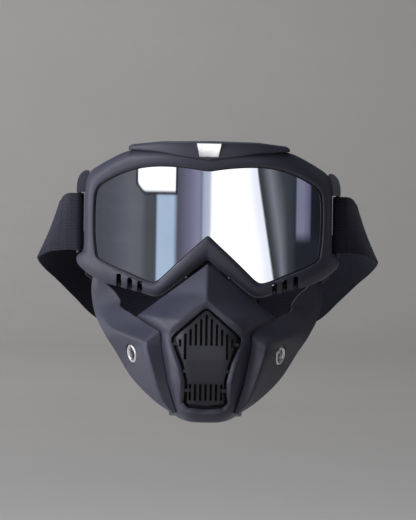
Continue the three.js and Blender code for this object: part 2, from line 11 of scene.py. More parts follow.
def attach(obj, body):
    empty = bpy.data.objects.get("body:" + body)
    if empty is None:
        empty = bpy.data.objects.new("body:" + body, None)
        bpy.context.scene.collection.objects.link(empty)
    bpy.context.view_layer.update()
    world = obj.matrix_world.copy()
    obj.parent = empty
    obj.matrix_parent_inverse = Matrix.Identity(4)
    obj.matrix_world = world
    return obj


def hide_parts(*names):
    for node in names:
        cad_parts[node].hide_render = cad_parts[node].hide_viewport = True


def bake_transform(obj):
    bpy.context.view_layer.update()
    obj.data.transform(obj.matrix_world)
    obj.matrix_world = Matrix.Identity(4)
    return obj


bl_info = {
    "name": "Goggles with Face Mask",
    "version": (1, 0, 0),
    "blender": (4, 5, 0),
    "location": "View3D > Sidebar > Goggles",
    "description": "Builds riding goggles with a mirror lens, a clip-on mask and a head strap",
    "category": "Object",
}

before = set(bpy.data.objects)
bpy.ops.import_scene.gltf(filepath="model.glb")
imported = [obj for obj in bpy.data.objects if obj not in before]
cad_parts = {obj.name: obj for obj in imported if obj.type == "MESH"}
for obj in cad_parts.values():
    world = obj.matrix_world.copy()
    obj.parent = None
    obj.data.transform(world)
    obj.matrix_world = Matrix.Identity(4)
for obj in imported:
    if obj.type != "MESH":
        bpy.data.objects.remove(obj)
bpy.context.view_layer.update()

MM = 0.001
SIDES = ((1, "right"), (-1, "left"))

# ---- outlines in the front view: x, z in millimetres on the right side ----
OUTLINE_STEPS = [10, 6, 4, 10, 8]
FINER = 5
LENS_OPENING = [
    [(0, 35.6), (13.5, 37.6), (28, 38.7), (40, 38.4), (50.5, 36.7), (64, 31.9), (76, 25)],
    [(76, 25), (79.2, 19.5), (80, 5), (79.6, -12), (78.6, -21)],
    [(78.6, -21), (77.9, -24.6), (76.3, -27)],
    [(76.3, -27), (67, -31.8), (54, -37), (44, -41.3), (37, -42.8), (32.5, -40.4)],
    [(32.5, -40.4), (20, -28.2), (0, -9.7)],
]
FRAME_OUTLINE = [
    [(0, 51.5), (30, 51), (54, 49.2), (65, 45), (76, 39), (84, 33.8)],
    [(84, 33.8), (86.3, 26), (86.9, 15), (86.9, -14), (87.2, -22.2)],
    [(87.2, -22.2), (91, -24.2), (92.3, -26.8), (91.9, -29.4), (90, -32.5)],
    [(90, -32.5), (82, -38.5), (73, -43), (64, -45.5), (46, -49.7), (36, -52.3), (29.5, -50)],
    [(29.5, -50), (15, -38.2), (0, -26)],
]
LENS_FRONT = -52.0
FRAME_DEPTH = 15.0
SEAT = 3.4
WALL = 2.2
FOAM_FRONT = 15.6
FOAM_DEPTH = 13.0
LINER_FRONT = 29.2
VENT_NOTCHES = [(46.8, -41.5), (53.8, -39.3), (61.5, -37)]
TOP_VENTS = [-38, -17, 17, 38]
POST = np.array([90.8, -6.0])
POST_RADIUS = 1.5
STRAP_MIDDLE = -1.2
REAR_RUN = 48.0
SEWN_TAIL = 24.0
STRAP_STEPS = 560
LOOP_RADIUS = 2.65
RECESS_DEPTH = 2.6


# ---- sizes and colours ----
def metres(name, description, default, **limits):
    return FloatProperty(name=name, description=description, default=default, unit="LENGTH", **limits)


def tint(name, description, *default):
    return FloatVectorProperty(
        name=name, description=description, subtype="COLOR", size=4, default=(*default, 1))


class GoggleSizes(bpy.types.PropertyGroup):
    """Sizes that the pieces are built to."""

    lens_radius: metres("Lens radius", "Radius of the upright cylinder the lens is part of", 0.119, min=0.08)
    lens_thickness: metres("Lens thickness", "Thickness of the mirror lens", 0.0018)
    strap_width: metres("Strap width", "Width of the elastic band", 0.040)
    strap_thickness: metres("Strap thickness", "Thickness of the elastic band", 0.0017)
    rib_pitch: metres("Rib pitch", "Distance between the ribs woven into the band", 0.0022)
    foam_swell: metres("Foam swell", "Most that a point of the face foam may move when it swells", 0.0012)
    slot_width: metres("Slot width", "Width of the breathing slots", 0.0017)
    stitches: IntProperty(
        name="Stitches", description="Stitches in each row across the sewn strap end", default=15, min=4)


class GoggleColours(bpy.types.PropertyGroup):
    """Colours of the finishes."""

    plastic: tint("Plastic", "Soft-touch moulded plastic", 0.026, 0.027, 0.041)
    # On the grille and its bridges, which belong with the mask's plastic, this colour is drawn far darker
    # than the mask as painted shade in the recess; on the hard plastic parts it is their own colour.
    grille: tint("Grille", "Plastic of the breathing grille", 0.0045, 0.005, 0.0085)
    webbing: tint("Webbing", "Elastic head strap", 0.0075, 0.0075, 0.013)
    foam: tint("Foam", "Open-cell face foam", 0.020, 0.020, 0.022)
    fleece: tint("Fleece", "Brushed liner on the face foam", 0.030, 0.030, 0.034)
    metal: tint("Metal", "Nickel plated rivets and badge", 0.80, 0.79, 0.76)
    lens: tint("Lens mirror", "Silver mirror coat on the lens", 0.90, 0.91, 0.94)
    backdrop: tint("Backdrop", "Floor and backdrop", 0.42, 0.415, 0.41)


def sizes():
    return bpy.context.scene.goggle_sizes


def colours():
    return bpy.context.scene.goggle_colours


# ---- shader nodes ----
MESH_THREAD = 0.0007  # spacing of the threads in the grille mesh, in metres
WEB_PICK = 0.00075  # length of one crossing of the strap's weave
WEB_YARN = 0.00055  # width of one yarn of the strap


class Signal:
    """A shader output that takes part in sums, so node maths reads as arithmetic."""

    def __init__(self, surface, socket):
        self.surface, self.socket = surface, socket

    def _sum(self, operation, *values):
        return self.surface.node("ShaderNodeMath", {"operation": operation}, *values)

    def __add__(self, other):
        return self._sum("ADD", self, other)

    def __sub__(self, other):
        return self._sum("SUBTRACT", self, other)

    def __mul__(self, other):
        return self._sum("MULTIPLY", self, other)

    def __truediv__(self, other):
        return self._sum("DIVIDE", self, other)

    def __pow__(self, other):
        return self._sum("POWER", self, other)

    __radd__ = __add__

    def apply(self, operation, *others):
        """Any other Math operation on this signal, such as SINE or MAXIMUM."""
        return self._sum(operation, self, *others)


class Surface:
    """A material made of nodes. Constant settings go straight on the shader's sockets."""

    def __init__(self, name, kind="ShaderNodeBsdfPrincipled", **constants):
        self.material = bpy.data.materials.new(name)
        self.material.use_nodes = True
        self.tree = self.material.node_tree
        self.tree.nodes.clear()
        self.output = self.tree.nodes.new("ShaderNodeOutputMaterial")
        self.shader = self.tree.nodes.new(kind)
        self.tree.links.new(self.shader.outputs[0], self.output.inputs["Surface"])
        for socket, value in constants.items():
            self.shader.inputs[socket.replace("_", " ")].default_value = value

    def node(self, kind, settings=None, *values, out=0, **named):
        node = self.tree.nodes.new(kind)
        for key, value in (settings or {}).items():
            if key == "stops":
                ramp = node.color_ramp
                while len(ramp.elements) > 1:
                    ramp.elements.remove(ramp.elements[-1])
                ramp.elements[0].position, ramp.elements[0].color = value[0]
                for position, colour in value[1:]:
                    ramp.elements.new(position).color = colour
            else:
                setattr(node, key, value)
        for index, value in enumerate(values):
            self.feed(node.inputs[index], value)
        for key, value in named.items():
            self.feed(node.inputs[key.replace("_", " ")], value)
        return Signal(self, node.outputs[out])

    def feed(self, socket, value):
        if isinstance(value, Signal):
            self.tree.links.new(value.socket, socket)
        else:
            socket.default_value = value

    def place(self, kind="Object", stretch=None):
        spot = self.node("ShaderNodeTexCoord", out=kind)
        if stretch:
            spot = self.node("ShaderNodeMapping", None, Vector=spot, Scale=stretch)
        return spot

    def parts(self, vector):
        node = self.tree.nodes.new("ShaderNodeSeparateXYZ")
        self.feed(node.inputs[0], vector)
        return [Signal(self, output) for output in node.outputs]

    def noise(self, vector, scale, detail=3.0, roughness=0.5, distortion=0.0):
        return self.node("ShaderNodeTexNoise", None, Vector=vector, Scale=scale, Detail=detail,
                         Roughness=roughness, Distortion=distortion)

    def cells(self, vector, scale):
        return self.node("ShaderNodeTexVoronoi", None, Vector=vector, Scale=scale)

    def mixed(self, factor, first, second):
        node = self.tree.nodes.new("ShaderNodeMix")
        node.data_type = "RGBA"
        for index, value in ((0, factor), (6, first), (7, second)):
            self.feed(node.inputs[index], value)
        return Signal(self, node.outputs[2])

    def spread(self, value, low, high, to_low, to_high):
        """Maps low..high to to_low..to_high, held at both ends."""
        return self.node("ShaderNodeMapRange", {"clamp": True}, value, low, high, to_low, to_high)

    def bump(self, height, distance, strength=1.0, normal=None):
        named = {"Normal": normal} if normal else {}
        return self.node("ShaderNodeBump", None, Height=height, Distance=distance,
                         Strength=strength, **named)

    def set(self, **signals):
        for socket, value in signals.items():
            self.feed(self.shader.inputs[socket.replace("_", " ")], value)
        return self.material


def shade(colour, amount):
    return (colour[0] * amount, colour[1] * amount, colour[2] * amount, 1)


def soft_touch_plastic(name, colour, roughness, grain=2600.0, gloss_spread=0.06):
    """Moulded plastic with a fine spark-eroded grain, faint cloudiness and rubbed patches."""
    s = Surface(name, Specular_IOR_Level=0.55, Sheen_Weight=0.06, Sheen_Roughness=0.45,
                Sheen_Tint=(0.72, 0.70, 1.0, 1), Coat_Roughness=0.3)
    spot = s.place()
    cloud = s.noise(spot, 22.0, 4.0, 0.55)
    rub = s.noise(spot, 95.0, 5.0, 0.6, 0.4)
    fine = s.noise(spot, grain, 2.0, 0.6)
    pits = s.cells(spot, grain * 0.8)
    tone = s.mixed(s.spread(cloud, 0.35, 0.68, 0.0, 1.0), shade(colour, 0.86), shade(colour, 1.16))
    tone = s.mixed(s.spread(fine, 0.45, 0.75, 0.0, 0.35), tone, shade(colour, 1.5))
    gloss = roughness + (rub - 0.5) * (2 * gloss_spread) + (fine - 0.5) * 0.08
    skin = s.bump(fine * 0.6 + pits * 0.4, 0.000035, 0.6)
    return s.set(Base_Color=tone, Roughness=gloss, Normal=s.bump(cloud, 0.00012, 0.25, skin))


def mirror_coat(colour):
    """Silver mirror film on a moulded lens: nearly clean, with faint haze and wipe marks."""
    s = Surface("mirror_coat", Metallic=1.0, Specular_IOR_Level=0.5)
    spot = s.place()
    haze = s.noise(spot, 34.0, 5.0, 0.6)
    wipe = s.noise(s.place(stretch=(30.0, 30.0, 260.0)), 1.0, 4.0, 0.6, 0.6)
    tone = s.mixed(s.spread(haze, 0.4, 0.7, 0.0, 1.0), colour, shade(colour, 0.95))
    gloss = 0.018 + s.spread(wipe, 0.5, 0.8, 0.0, 0.03)
    ripple = s.noise(s.place(stretch=(10.0, 10.0, 3.0)), 1.0, 1.0, 0.3)
    return s.set(Base_Color=tone, Roughness=gloss, Normal=s.bump(ripple, 0.0003, 0.3))


def smoke_tint():
    """Inner face of the lens: dark smoked polycarbonate with an anti-fog film."""
    s = Surface("smoke_tint", Specular_IOR_Level=0.6, Coat_Weight=0.5, Coat_Roughness=0.05)
    film = s.noise(s.place(), 60.0, 4.0, 0.6)
    streak = s.noise(s.place(stretch=(40.0, 40.0, 400.0)), 1.0, 3.0, 0.5)
    tone = s.mixed(s.spread(film, 0.35, 0.7, 0.0, 1.0), (0.010, 0.009, 0.008, 1), (0.020, 0.018, 0.015, 1))
    return s.set(Base_Color=tone, Roughness=0.08 + streak * 0.10, Normal=s.bump(film, 0.00005, 0.3))


def fine_mesh():
    """Black woven mesh behind the slots of the grille."""
    s = Surface("fine_mesh", Specular_IOR_Level=0.3)
    x, _, z = s.parts(s.place())
    thread = 2 * math.pi / MESH_THREAD
    weave = (x * thread).apply("SINE") * 0.25 + (z * thread).apply("SINE") * 0.25 + 0.5
    lint = s.noise(s.place(), 900.0, 3.0, 0.6)
    tone = s.mixed(weave, (0.001, 0.001, 0.0012, 1), (0.008, 0.008, 0.010, 1))
    return s.set(Base_Color=s.mixed(s.spread(lint, 0.6, 0.8, 0.0, 0.4), tone, (0.014, 0.014, 0.016, 1)),
                 Roughness=0.7 + (lint - 0.5) * 0.2, Normal=s.bump(weave, 0.0002, 0.8))


def bright_metal(name, colour, roughness, stretch):
    """Plated metal with fine scratches drawn out one way and slight dulling."""
    s = Surface(name, Metallic=1.0)
    scratch = s.noise(s.place(stretch=stretch), 1.0, 4.0, 0.65)
    dull = s.noise(s.place(), 240.0, 3.0, 0.5)
    tone = s.mixed(s.spread(dull, 0.45, 0.75, 0.0, 1.0), colour, shade(colour, 0.82))
    gloss = roughness + (scratch - 0.5) * 0.22 + s.spread(dull, 0.5, 0.8, 0.0, 0.08)
    return s.set(Base_Color=tone, Roughness=gloss, Normal=s.bump(scratch, 0.00002, 0.5))


def soft_rubber(colour):
    s = Surface("soft_rubber", Specular_IOR_Level=0.35)
    spot = s.place()
    dust = s.noise(spot, 120.0, 4.0, 0.6)
    fine = s.noise(spot, 3200.0, 2.0, 0.5)
    tone = s.mixed(s.spread(dust, 0.45, 0.75, 0.0, 0.6), colour, shade(colour, 2.2))
    return s.set(Base_Color=tone, Roughness=0.62 + (dust - 0.5) * 0.2,
                 Normal=s.bump(fine, 0.00003, 0.5))


def open_foam(colour):
    """Open-cell foam: round pores of two sizes, darker inside."""
    s = Surface("open_foam", Specular_IOR_Level=0.15, Sheen_Weight=0.12, Sheen_Roughness=0.7)
    spot = s.place()
    pores = s.cells(spot, 1150.0)
    small = s.cells(spot, 2400.0)
    drift = s.noise(spot, 60.0, 3.0)
    depth = s.spread(pores, 0.05, 0.5, 0.0, 1.0) * 0.7 + s.spread(small, 0.05, 0.5, 0.0, 1.0) * 0.3
    # Painted shade: the pores are drawn darker towards their bottoms and lighter at their rims, following
    # the bump depth.
    tone = s.mixed(depth, shade(colour, 0.25), shade(colour, 1.5))
    tone = s.mixed(s.spread(drift, 0.35, 0.7, 0.0, 0.5), tone, shade(colour, 0.8))
    return s.set(Base_Color=tone, Roughness=0.86 + depth * 0.1, Normal=s.bump(depth, 0.0004, 0.9))


def brushed_fleece(colour):
    """Short brushed pile, matted here and there."""
    s = Surface("brushed_fleece", Specular_IOR_Level=0.1, Sheen_Weight=0.5, Sheen_Roughness=0.5,
                Sheen_Tint=(0.8, 0.8, 0.9, 1))
    spot = s.place()
    pile = s.noise(spot, 1500.0, 5.0, 0.75, 1.2)
    mat = s.noise(spot, 180.0, 4.0, 0.6, 0.5)
    # Painted shade: the pile is drawn darker in its hollows and lighter on its raised tufts, following most
    # of the bump height.
    tone = s.mixed(s.spread(pile, 0.3, 0.7, 0.0, 1.0), shade(colour, 0.5), shade(colour, 1.7))
    tone = s.mixed(s.spread(mat, 0.4, 0.7, 0.0, 0.5), tone, shade(colour, 0.9))
    height = pile * 0.7 + mat * 0.3
    return s.set(Base_Color=tone, Roughness=0.93 + (mat - 0.5) * 0.08,
                 Normal=s.bump(height, 0.0005, 0.8))


def ribbed_webbing(colour, pitch):
    """Elastic band woven with ribs along its length. Its UV map is in metres: along, then round."""
    s = Surface("ribbed_webbing", Specular_IOR_Level=0.2, Sheen_Weight=0.12, Sheen_Roughness=0.4,
                Sheen_Tint=(0.75, 0.74, 1.0, 1))
    along, across, _ = s.parts(s.place("UV"))
    turn = 2 * math.pi
    rib = (across * (turn / pitch)).apply("COSINE") * 0.5 + 0.5
    shift = (across / pitch * 2).apply("FLOOR") * 0.5
    thread = ((along / WEB_PICK + shift) * turn).apply("SINE") * 0.5 + 0.5
    yarn = (across * (turn / WEB_YARN)).apply("SINE") * 0.5 + 0.5
    fuzz = s.noise(s.place(), 1400.0, 4.0, 0.7)
    worn = s.noise(s.place(), 55.0, 4.0, 0.6)
    height = rib * 0.5 + thread * 0.3 + yarn * 0.1 + fuzz * 0.1
    # Painted shade and highlight: the band is drawn darker down in the hollows between ribs, threads and
    # yarns and lighter on their crests, following the bump height.
    tone = s.mixed(height, shade(colour, 0.45), shade(colour, 1.6))
    tone = s.mixed(s.spread(fuzz, 0.55, 0.8, 0.0, 0.5), tone, shade(colour, 3.2))
    tone = s.mixed(s.spread(worn, 0.45, 0.75, 0.0, 0.35), tone, shade(colour, 1.8))
    return s.set(Base_Color=tone, Roughness=0.78 + (fuzz - 0.5) * 0.25,
                 Normal=s.bump(height, 0.00028, 0.9))


def sewing_thread(colour):
    s = Surface("sewing_thread", Specular_IOR_Level=0.3, Sheen_Weight=0.3)
    twist = s.noise(s.place(stretch=(900.0, 900.0, 3200.0)), 1.0, 3.0, 0.6)
    # Painted highlight and shade: the raised strands of the twist are drawn up to 2.6 times lighter than the
    # hollows between them, following the bump.
    tone = s.mixed(twist, shade(colour, 0.9), shade(colour, 2.6))
    return s.set(Base_Color=tone, Roughness=0.6 + (twist - 0.5) * 0.3, Normal=s.bump(twist, 0.0001, 0.8))


def filter_fibre():
    """Pressed filter felt: long tangled fibres."""
    colour = (0.022, 0.022, 0.024)
    s = Surface("filter_fibre", Specular_IOR_Level=0.15)
    first = s.noise(s.place(stretch=(420.0, 420.0, 1900.0)), 1.0, 4.0, 0.7, 1.5)
    second = s.noise(s.place(stretch=(1900.0, 900.0, 420.0)), 1.0, 4.0, 0.7, 1.5)
    height = first.apply("MAXIMUM", second)
    # Painted shade: the felt is drawn darker where its fibres lie low and lighter where they stand high,
    # following the bump height.
    tone = s.mixed(s.spread(height, 0.4, 0.75, 0.0, 1.0), shade(colour, 0.35), shade(colour, 1.8))
    return s.set(Base_Color=tone, Roughness=0.9 + (height - 0.5) * 0.1,
                 Normal=s.bump(height, 0.0005, 0.9))


def paper_backdrop(colour):
    s = Surface("paper_backdrop", Specular_IOR_Level=0.1)
    cloud = s.noise(s.place(), 1.7, 5.0, 0.6)
    fine = s.noise(s.place(), 40.0, 4.0, 0.6)
    tone = s.mixed(s.spread(cloud, 0.3, 0.7, 0.0, 1.0), shade(colour, 0.95), shade(colour, 1.05))
    return s.set(Base_Color=s.mixed(s.spread(fine, 0.3, 0.7, 0.0, 1.0), tone, shade(colour, 1.01)),
                 Roughness=0.9 + (fine - 0.5) * 0.1)


FINISHES = {}


def finish(name):
    """The named finish, made once."""
    if name not in FINISHES:
        c = colours()
        makers = {
            "frame_plastic": lambda: soft_touch_plastic("frame_plastic", c.plastic, 0.46),
            "mask_plastic": lambda: soft_touch_plastic("mask_plastic", c.plastic, 0.44, 2300.0),
            # The mask's plastic drawn far darker for the grille: painted shade for the recess it sits in.
            "grille_plastic_painted_dark": lambda: soft_touch_plastic("grille_plastic_painted_dark", c.grille, 0.42, 2600.0, 0.04),
            "hard_plastic": lambda: soft_touch_plastic("hard_plastic", c.grille, 0.34, 3600.0),
            "mirror": lambda: mirror_coat(c.lens),
            "smoke": smoke_tint,
            "mesh": fine_mesh,
            "nickel": lambda: bright_metal("nickel", c.metal, 0.36, (900.0, 900.0, 900.0)),
            "satin_badge": lambda: bright_metal("satin_badge", shade(c.metal, 1.15), 0.3,
                                                (120.0, 900.0, 2600.0)),
            "rubber": lambda: soft_rubber((0.008, 0.008, 0.009, 1)),
            "foam": lambda: open_foam(c.foam),
            "fleece": lambda: brushed_fleece(c.fleece),
            "webbing": lambda: ribbed_webbing(c.webbing, sizes().rib_pitch),
            "thread": lambda: sewing_thread(c.webbing),
            "felt": filter_fibre,
            "backdrop": lambda: paper_backdrop(c.backdrop),
        }
        FINISHES[name] = makers[name]()
    return FINISHES[name]


# ---- modelling helpers ----
def deselect():
    if bpy.context.object and bpy.context.object.mode != "OBJECT":
        bpy.ops.object.mode_set(mode="OBJECT")
    bpy.ops.object.select_all(action="DESELECT")


def pick(obj):
    deselect()
    obj.select_set(True)
    bpy.context.view_layer.objects.active = obj


def edit(obj, *steps):
    """Runs edit-mode operators on the whole of obj."""
    pick(obj)
    bpy.ops.object.mode_set(mode="EDIT")
    bpy.ops.mesh.select_all(action="SELECT")
    for step in steps:
        step()
    bpy.ops.object.mode_set(mode="OBJECT")


def merge_close():
    bpy.ops.mesh.remove_doubles(threshold=0.00001)


def turn_faces_out():
    bpy.ops.mesh.normals_make_consistent(inside=False)


def modify(obj, kind, **settings):
    """Adds a modifier and applies it."""
    pick(obj)
    modifier = obj.modifiers.new(kind.lower(), kind)
    for key, value in settings.items():
        setattr(modifier, key, value)
    bpy.ops.object.modifier_apply(modifier=modifier.name)


def round_edges(obj, width, segments=2, angle=32):
    modify(obj, "BEVEL", width=width, segments=segments, limit_method="ANGLE",
           angle_limit=math.radians(angle), use_clamp_overlap=True, miter_outer="MITER_ARC",
           harden_normals=False)


def smooth(obj, angle=42):
    pick(obj)
    bpy.ops.object.shade_smooth_by_angle(angle=math.radians(angle))


def cut_away(obj, *tools, operation="DIFFERENCE"):
    for tool in tools:
        modify(obj, "BOOLEAN", object=tool, operation=operation, solver="EXACT")
        bpy.data.objects.remove(tool)


def thickened(obj, depth):
    """Gives an open sheet its thickness, behind the side it faces."""
    modify(obj, "SOLIDIFY", thickness=depth * MM, offset=-1, use_even_offset=True)


def joined(first, *others):
    pick(first)
    for other in others:
        other.select_set(True)
    bpy.ops.object.join()


def coordinates(obj):
    co = np.empty(len(obj.data.vertices) * 3)
    obj.data.vertices.foreach_get("co", co)
    return co.reshape(-1, 3)


def move_vertices(obj, co):
    obj.data.vertices.foreach_set("co", co.ravel())
    obj.data.update()


def settle(obj, body, finish_name, slot, *replaced, angle=42):
    """Gives a finished piece its shading, finish and body."""
    smooth(obj, angle)
    bpy.ops.object.transform_apply(location=True, rotation=True, scale=True)
    obj.data.materials.clear()
    obj.data.materials.append(finish(finish_name))
    if replaced:
        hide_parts(*replaced)
    if body:
        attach(obj, body)
    return obj


def shaped_grid(name, across, down, spot):
    """A grid primitive pulled into shape. spot takes column and row numbers and gives x, y, z in mm."""
    deselect()
    bpy.ops.mesh.primitive_grid_add(x_subdivisions=across, y_subdivisions=down, size=1)
    obj = bpy.context.object
    obj.name = obj.data.name = name
    co = coordinates(obj)
    column = np.rint((co[:, 0] + 0.5) * across).astype(int)
    row = np.rint((0.5 - co[:, 1]) * down).astype(int)
    move_vertices(obj, np.asarray(spot(column, row), float) * MM)
    return obj


def looped_grid(name, across, down, spot):
    """A shaped grid whose ends or sides meet: doubles merged, open ends filled, faces out."""
    obj = shaped_grid(name, across, down, spot)

    def fill_ends():
        bpy.ops.mesh.select_all(action="DESELECT")
        bpy.ops.mesh.select_mode(type="EDGE")
        bpy.ops.mesh.select_non_manifold()
        bpy.ops.mesh.edge_face_add()
        bpy.ops.mesh.select_all(action="SELECT")

    edit(obj, merge_close)
    if open_edges(obj):
        edit(obj, fill_ends)
    edit(obj, turn_faces_out)
    return obj


def open_edges(obj):
    counts = np.zeros(len(obj.data.edges), int)
    edges = np.empty(len(obj.data.loops), int)
    obj.data.loops.foreach_get("edge_index", edges)
    np.add.at(counts, edges, 1)
    return int((counts != 2).sum())


def face_front(obj, direction):
    """Turns an open sheet so that its faces look along direction."""
    obj.data.update()
    normals = np.empty(len(obj.data.polygons) * 3)
    obj.data.polygons.foreach_get("normal", normals)
    if normals.reshape(-1, 3).mean(0) @ np.array(direction) < 0:
        edit(obj, bpy.ops.mesh.flip_normals)


def outline_slab(name, outline, front, depth):
    """A flat outline in x, z given depth along y: a disc primitive, shaped and extruded."""
    deselect()
    bpy.ops.mesh.primitive_circle_add(vertices=len(outline), fill_type="NGON", radius=1)
    obj = bpy.context.object
    obj.name = obj.data.name = name
    for vertex, (x, z) in zip(obj.data.vertices, outline):
        vertex.co = (x * MM, front * MM, z * MM)
    edit(obj, lambda: bpy.ops.mesh.extrude_region_move(
        TRANSFORM_OT_translate={"value": (0, depth * MM, 0)}))
    edit(obj, turn_faces_out)
    return obj


def block(name, centre, size):
    deselect()
    bpy.ops.mesh.primitive_cube_add(size=1, location=[c * MM for c in centre], scale=[s * MM for s in size])
    obj = bpy.context.object
    obj.name = obj.data.name = name
    bpy.ops.object.transform_apply(location=True, rotation=True, scale=True)
    return obj


def softened_copy(node, name, width, segments=2, angle=30):
    """A copy of a CAD node with its corners merged and its edges rounded."""
    obj = bpy.data.objects.new(name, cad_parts[node].data.copy())
    bpy.context.collection.objects.link(obj)
    obj.data.name = name
    edit(obj, merge_close,
         lambda: bpy.ops.mesh.dissolve_limited(angle_limit=math.radians(1.0)), turn_faces_out)
    if width:
        round_edges(obj, width, segments, angle)
    return obj


# ---- curves and tables ----
def at(points, index):
    return points[np.clip(index, 0, len(points) - 1)]


def hermite(p1, p2, v1, v2, w):
    w = np.asarray(w, float)[:, None]
    return ((2 * p1 - 2 * p2 + v1 + v2) * w ** 3 + (-3 * p1 + 3 * p2 - 2 * v1 - v2) * w ** 2 + v1 * w + p1)


def flowing(points, position):
    """Points on a smooth curve through the given ones; position counts from 0 along them."""
    points = np.array(points, float)
    position = np.clip(np.asarray(position, float), 0, len(points) - 1)
    i = np.minimum(position.astype(int), len(points) - 2)
    p1, p2 = at(points, i), at(points, i + 1)
    v1, v2 = (p2 - at(points, i - 1)) / 2, (at(points, i + 2) - p1) / 2
    return hermite(p1, p2, v1, v2, position - i)


def travelled(points):
    """Distance along a polyline at each of its points."""
    return np.concatenate([[0], np.cumsum(np.linalg.norm(np.diff(points, axis=0), axis=1))])


def eased(loop, passes):
    """A closed outline with its corners softened."""
    for _ in range(passes):
        loop = loop * 0.5 + (np.roll(loop, 1, 0) + np.roll(loop, -1, 0)) * 0.25
    return loop


def evenly(points, count):
    """count points at even distances along a polyline, ends included."""
    points = np.asarray(points, float)
    run = travelled(points)
    where = np.linspace(0, run[-1], count)
    return np.stack([np.interp(where, run, points[:, k]) for k in range(points.shape[1])], axis=1)


def outline_loop(stretches):
    """The closed outline, from the middle of the top clockwise as seen from the front."""
    half = []
    for steps, stretch in zip(OUTLINE_STEPS, stretches):
        fine = flowing(stretch, np.linspace(0, len(stretch) - 1, 60 * len(stretch)))
        half.append(evenly(fine, steps * FINER + 1)[1 if half else 0:])
    half = np.concatenate(half)
    return eased(np.concatenate([half, half[-2:0:-1] * [-1, 1]]), 4)


OPENING = outline_loop(LENS_OPENING)
RIM = outline_loop(FRAME_OUTLINE)
WIDTHS = np.linalg.norm(RIM - OPENING, axis=1)
OUTWARDS = (RIM - OPENING) / WIDTHS[:, None]
STATIONS = len(OPENING)


def lens_y(x):
    radius = sizes().lens_radius / MM
    return LENS_FRONT + radius - np.sqrt(radius ** 2 - np.asarray(x) ** 2)


def ring_spot(i, distance, depth):
    k = i % STATIONS
    flat = OPENING[k] + OUTWARDS[k] * np.asarray(distance)[:, None]
    return np.stack([flat[:, 0], lens_y(flat[:, 0]) + depth, flat[:, 1]], axis=1)


def ring(name, section):
    """A closed ring round the lens. section(widths) gives rows of (distances outwards, depth)."""
    rows = section(WIDTHS)
    table = np.array([[np.broadcast_to(d, STATIONS), np.broadcast_to(y, STATIONS)] for d, y in rows])

    def spot(column, row):
        k, j = column % STATIONS, row % len(rows)
        return ring_spot(column, table[j, 0, k], table[j, 1, k])

    return looped_grid(name, STATIONS, len(rows), spot)


def blurred(rows, column, spread, step=0.25):
    """A table column as a smooth function of its first column."""
    keys = np.array([r[0] for r in rows], float)
    values = np.array([r[column] for r in rows], float)
    fine = np.arange(keys[0] - 20 * step, keys[-1] + 20 * step, step)
    slope_low = (values[1] - values[0]) / (keys[1] - keys[0])
    slope_high = (values[-1] - values[-2]) / (keys[-1] - keys[-2])
    level = np.interp(fine, keys, values)
    level += np.where(fine < keys[0], (fine - keys[0]) * slope_low, 0)
    level += np.where(fine > keys[-1], (fine - keys[-1]) * slope_high, 0)
    reach = int(3 * spread / step)
    weights = np.exp(-0.5 * (np.arange(-reach, reach + 1) * step / spread) ** 2)
    before, after = 2 * level[0] - level[reach:0:-1], 2 * level[-1] - level[-2:-reach - 2:-1]
    padded = np.concatenate([before, level, after])
    soft = np.convolve(padded, weights / weights.sum(), "valid")
    return lambda key: np.interp(key, fine, soft)


# ---- stage: backdrop, light screen, lights and camera ----
FLOOR = -0.30
SCREEN_RADIUS = 1.0
SCREEN_HALF = 0.30
# Strips of the light screen: azimuth in degrees from the camera's side, then radiance.
SCREEN_STRIPS = [
    (-88.5, (0.07, 0.07, 0.085)), (-72, (0.075, 0.08, 0.1)), (-55.5, (0.12, 0.125, 0.15)),
    (-48, (0.12, 0.125, 0.145)), (-43, (0.075, 0.08, 0.09)), (-36.5, (0.075, 0.08, 0.095)),
    (-35, (0.42, 0.54, 0.7)), (-24, (0.41, 0.52, 0.68)), (-21, (0.085, 0.085, 0.115)),
    (-12.5, (0.17, 0.165, 0.245)), (-6.5, (0.25, 0.25, 0.35)), (-4.5, (0.19, 0.2, 0.29)),
    (-3.5, (0.38, 0.42, 0.54)), (1, (0.52, 0.57, 0.68)), (2, (1, 1.02, 1.06)), (5, (1.3, 1.3, 1.3)),
    (27, (1.25, 1.26, 1.28)), (34.5, (0.96, 0.98, 1.06)), (38, (0.9, 0.93, 1.02)),
    (39, (0.035, 0.04, 0.042)), (42, (0.06, 0.068, 0.075)), (47.5, (0.205, 0.215, 0.25)),
    (51, (0.13, 0.14, 0.155)), (55.5, (0.05, 0.055, 0.07)), (62.5, (0.028, 0.034, 0.042)),
    (63.5, (0.19, 0.21, 0.28)), (68, (0.21, 0.205, 0.3)), (74, (0.11, 0.11, 0.19)),
    (75, (0.014, 0.016, 0.022)), (88.5, (0.01, 0.01, 0.014)),
]
CARD = (-50.1, -22.3)  # azimuths of a white card that stands at the left, above the rest
SCREEN_BOW = 127.0  # degrees that the strips at the right lean over for each metre of height
SCREEN_FOOT = (0.02, 0.02, 0.028, 1)


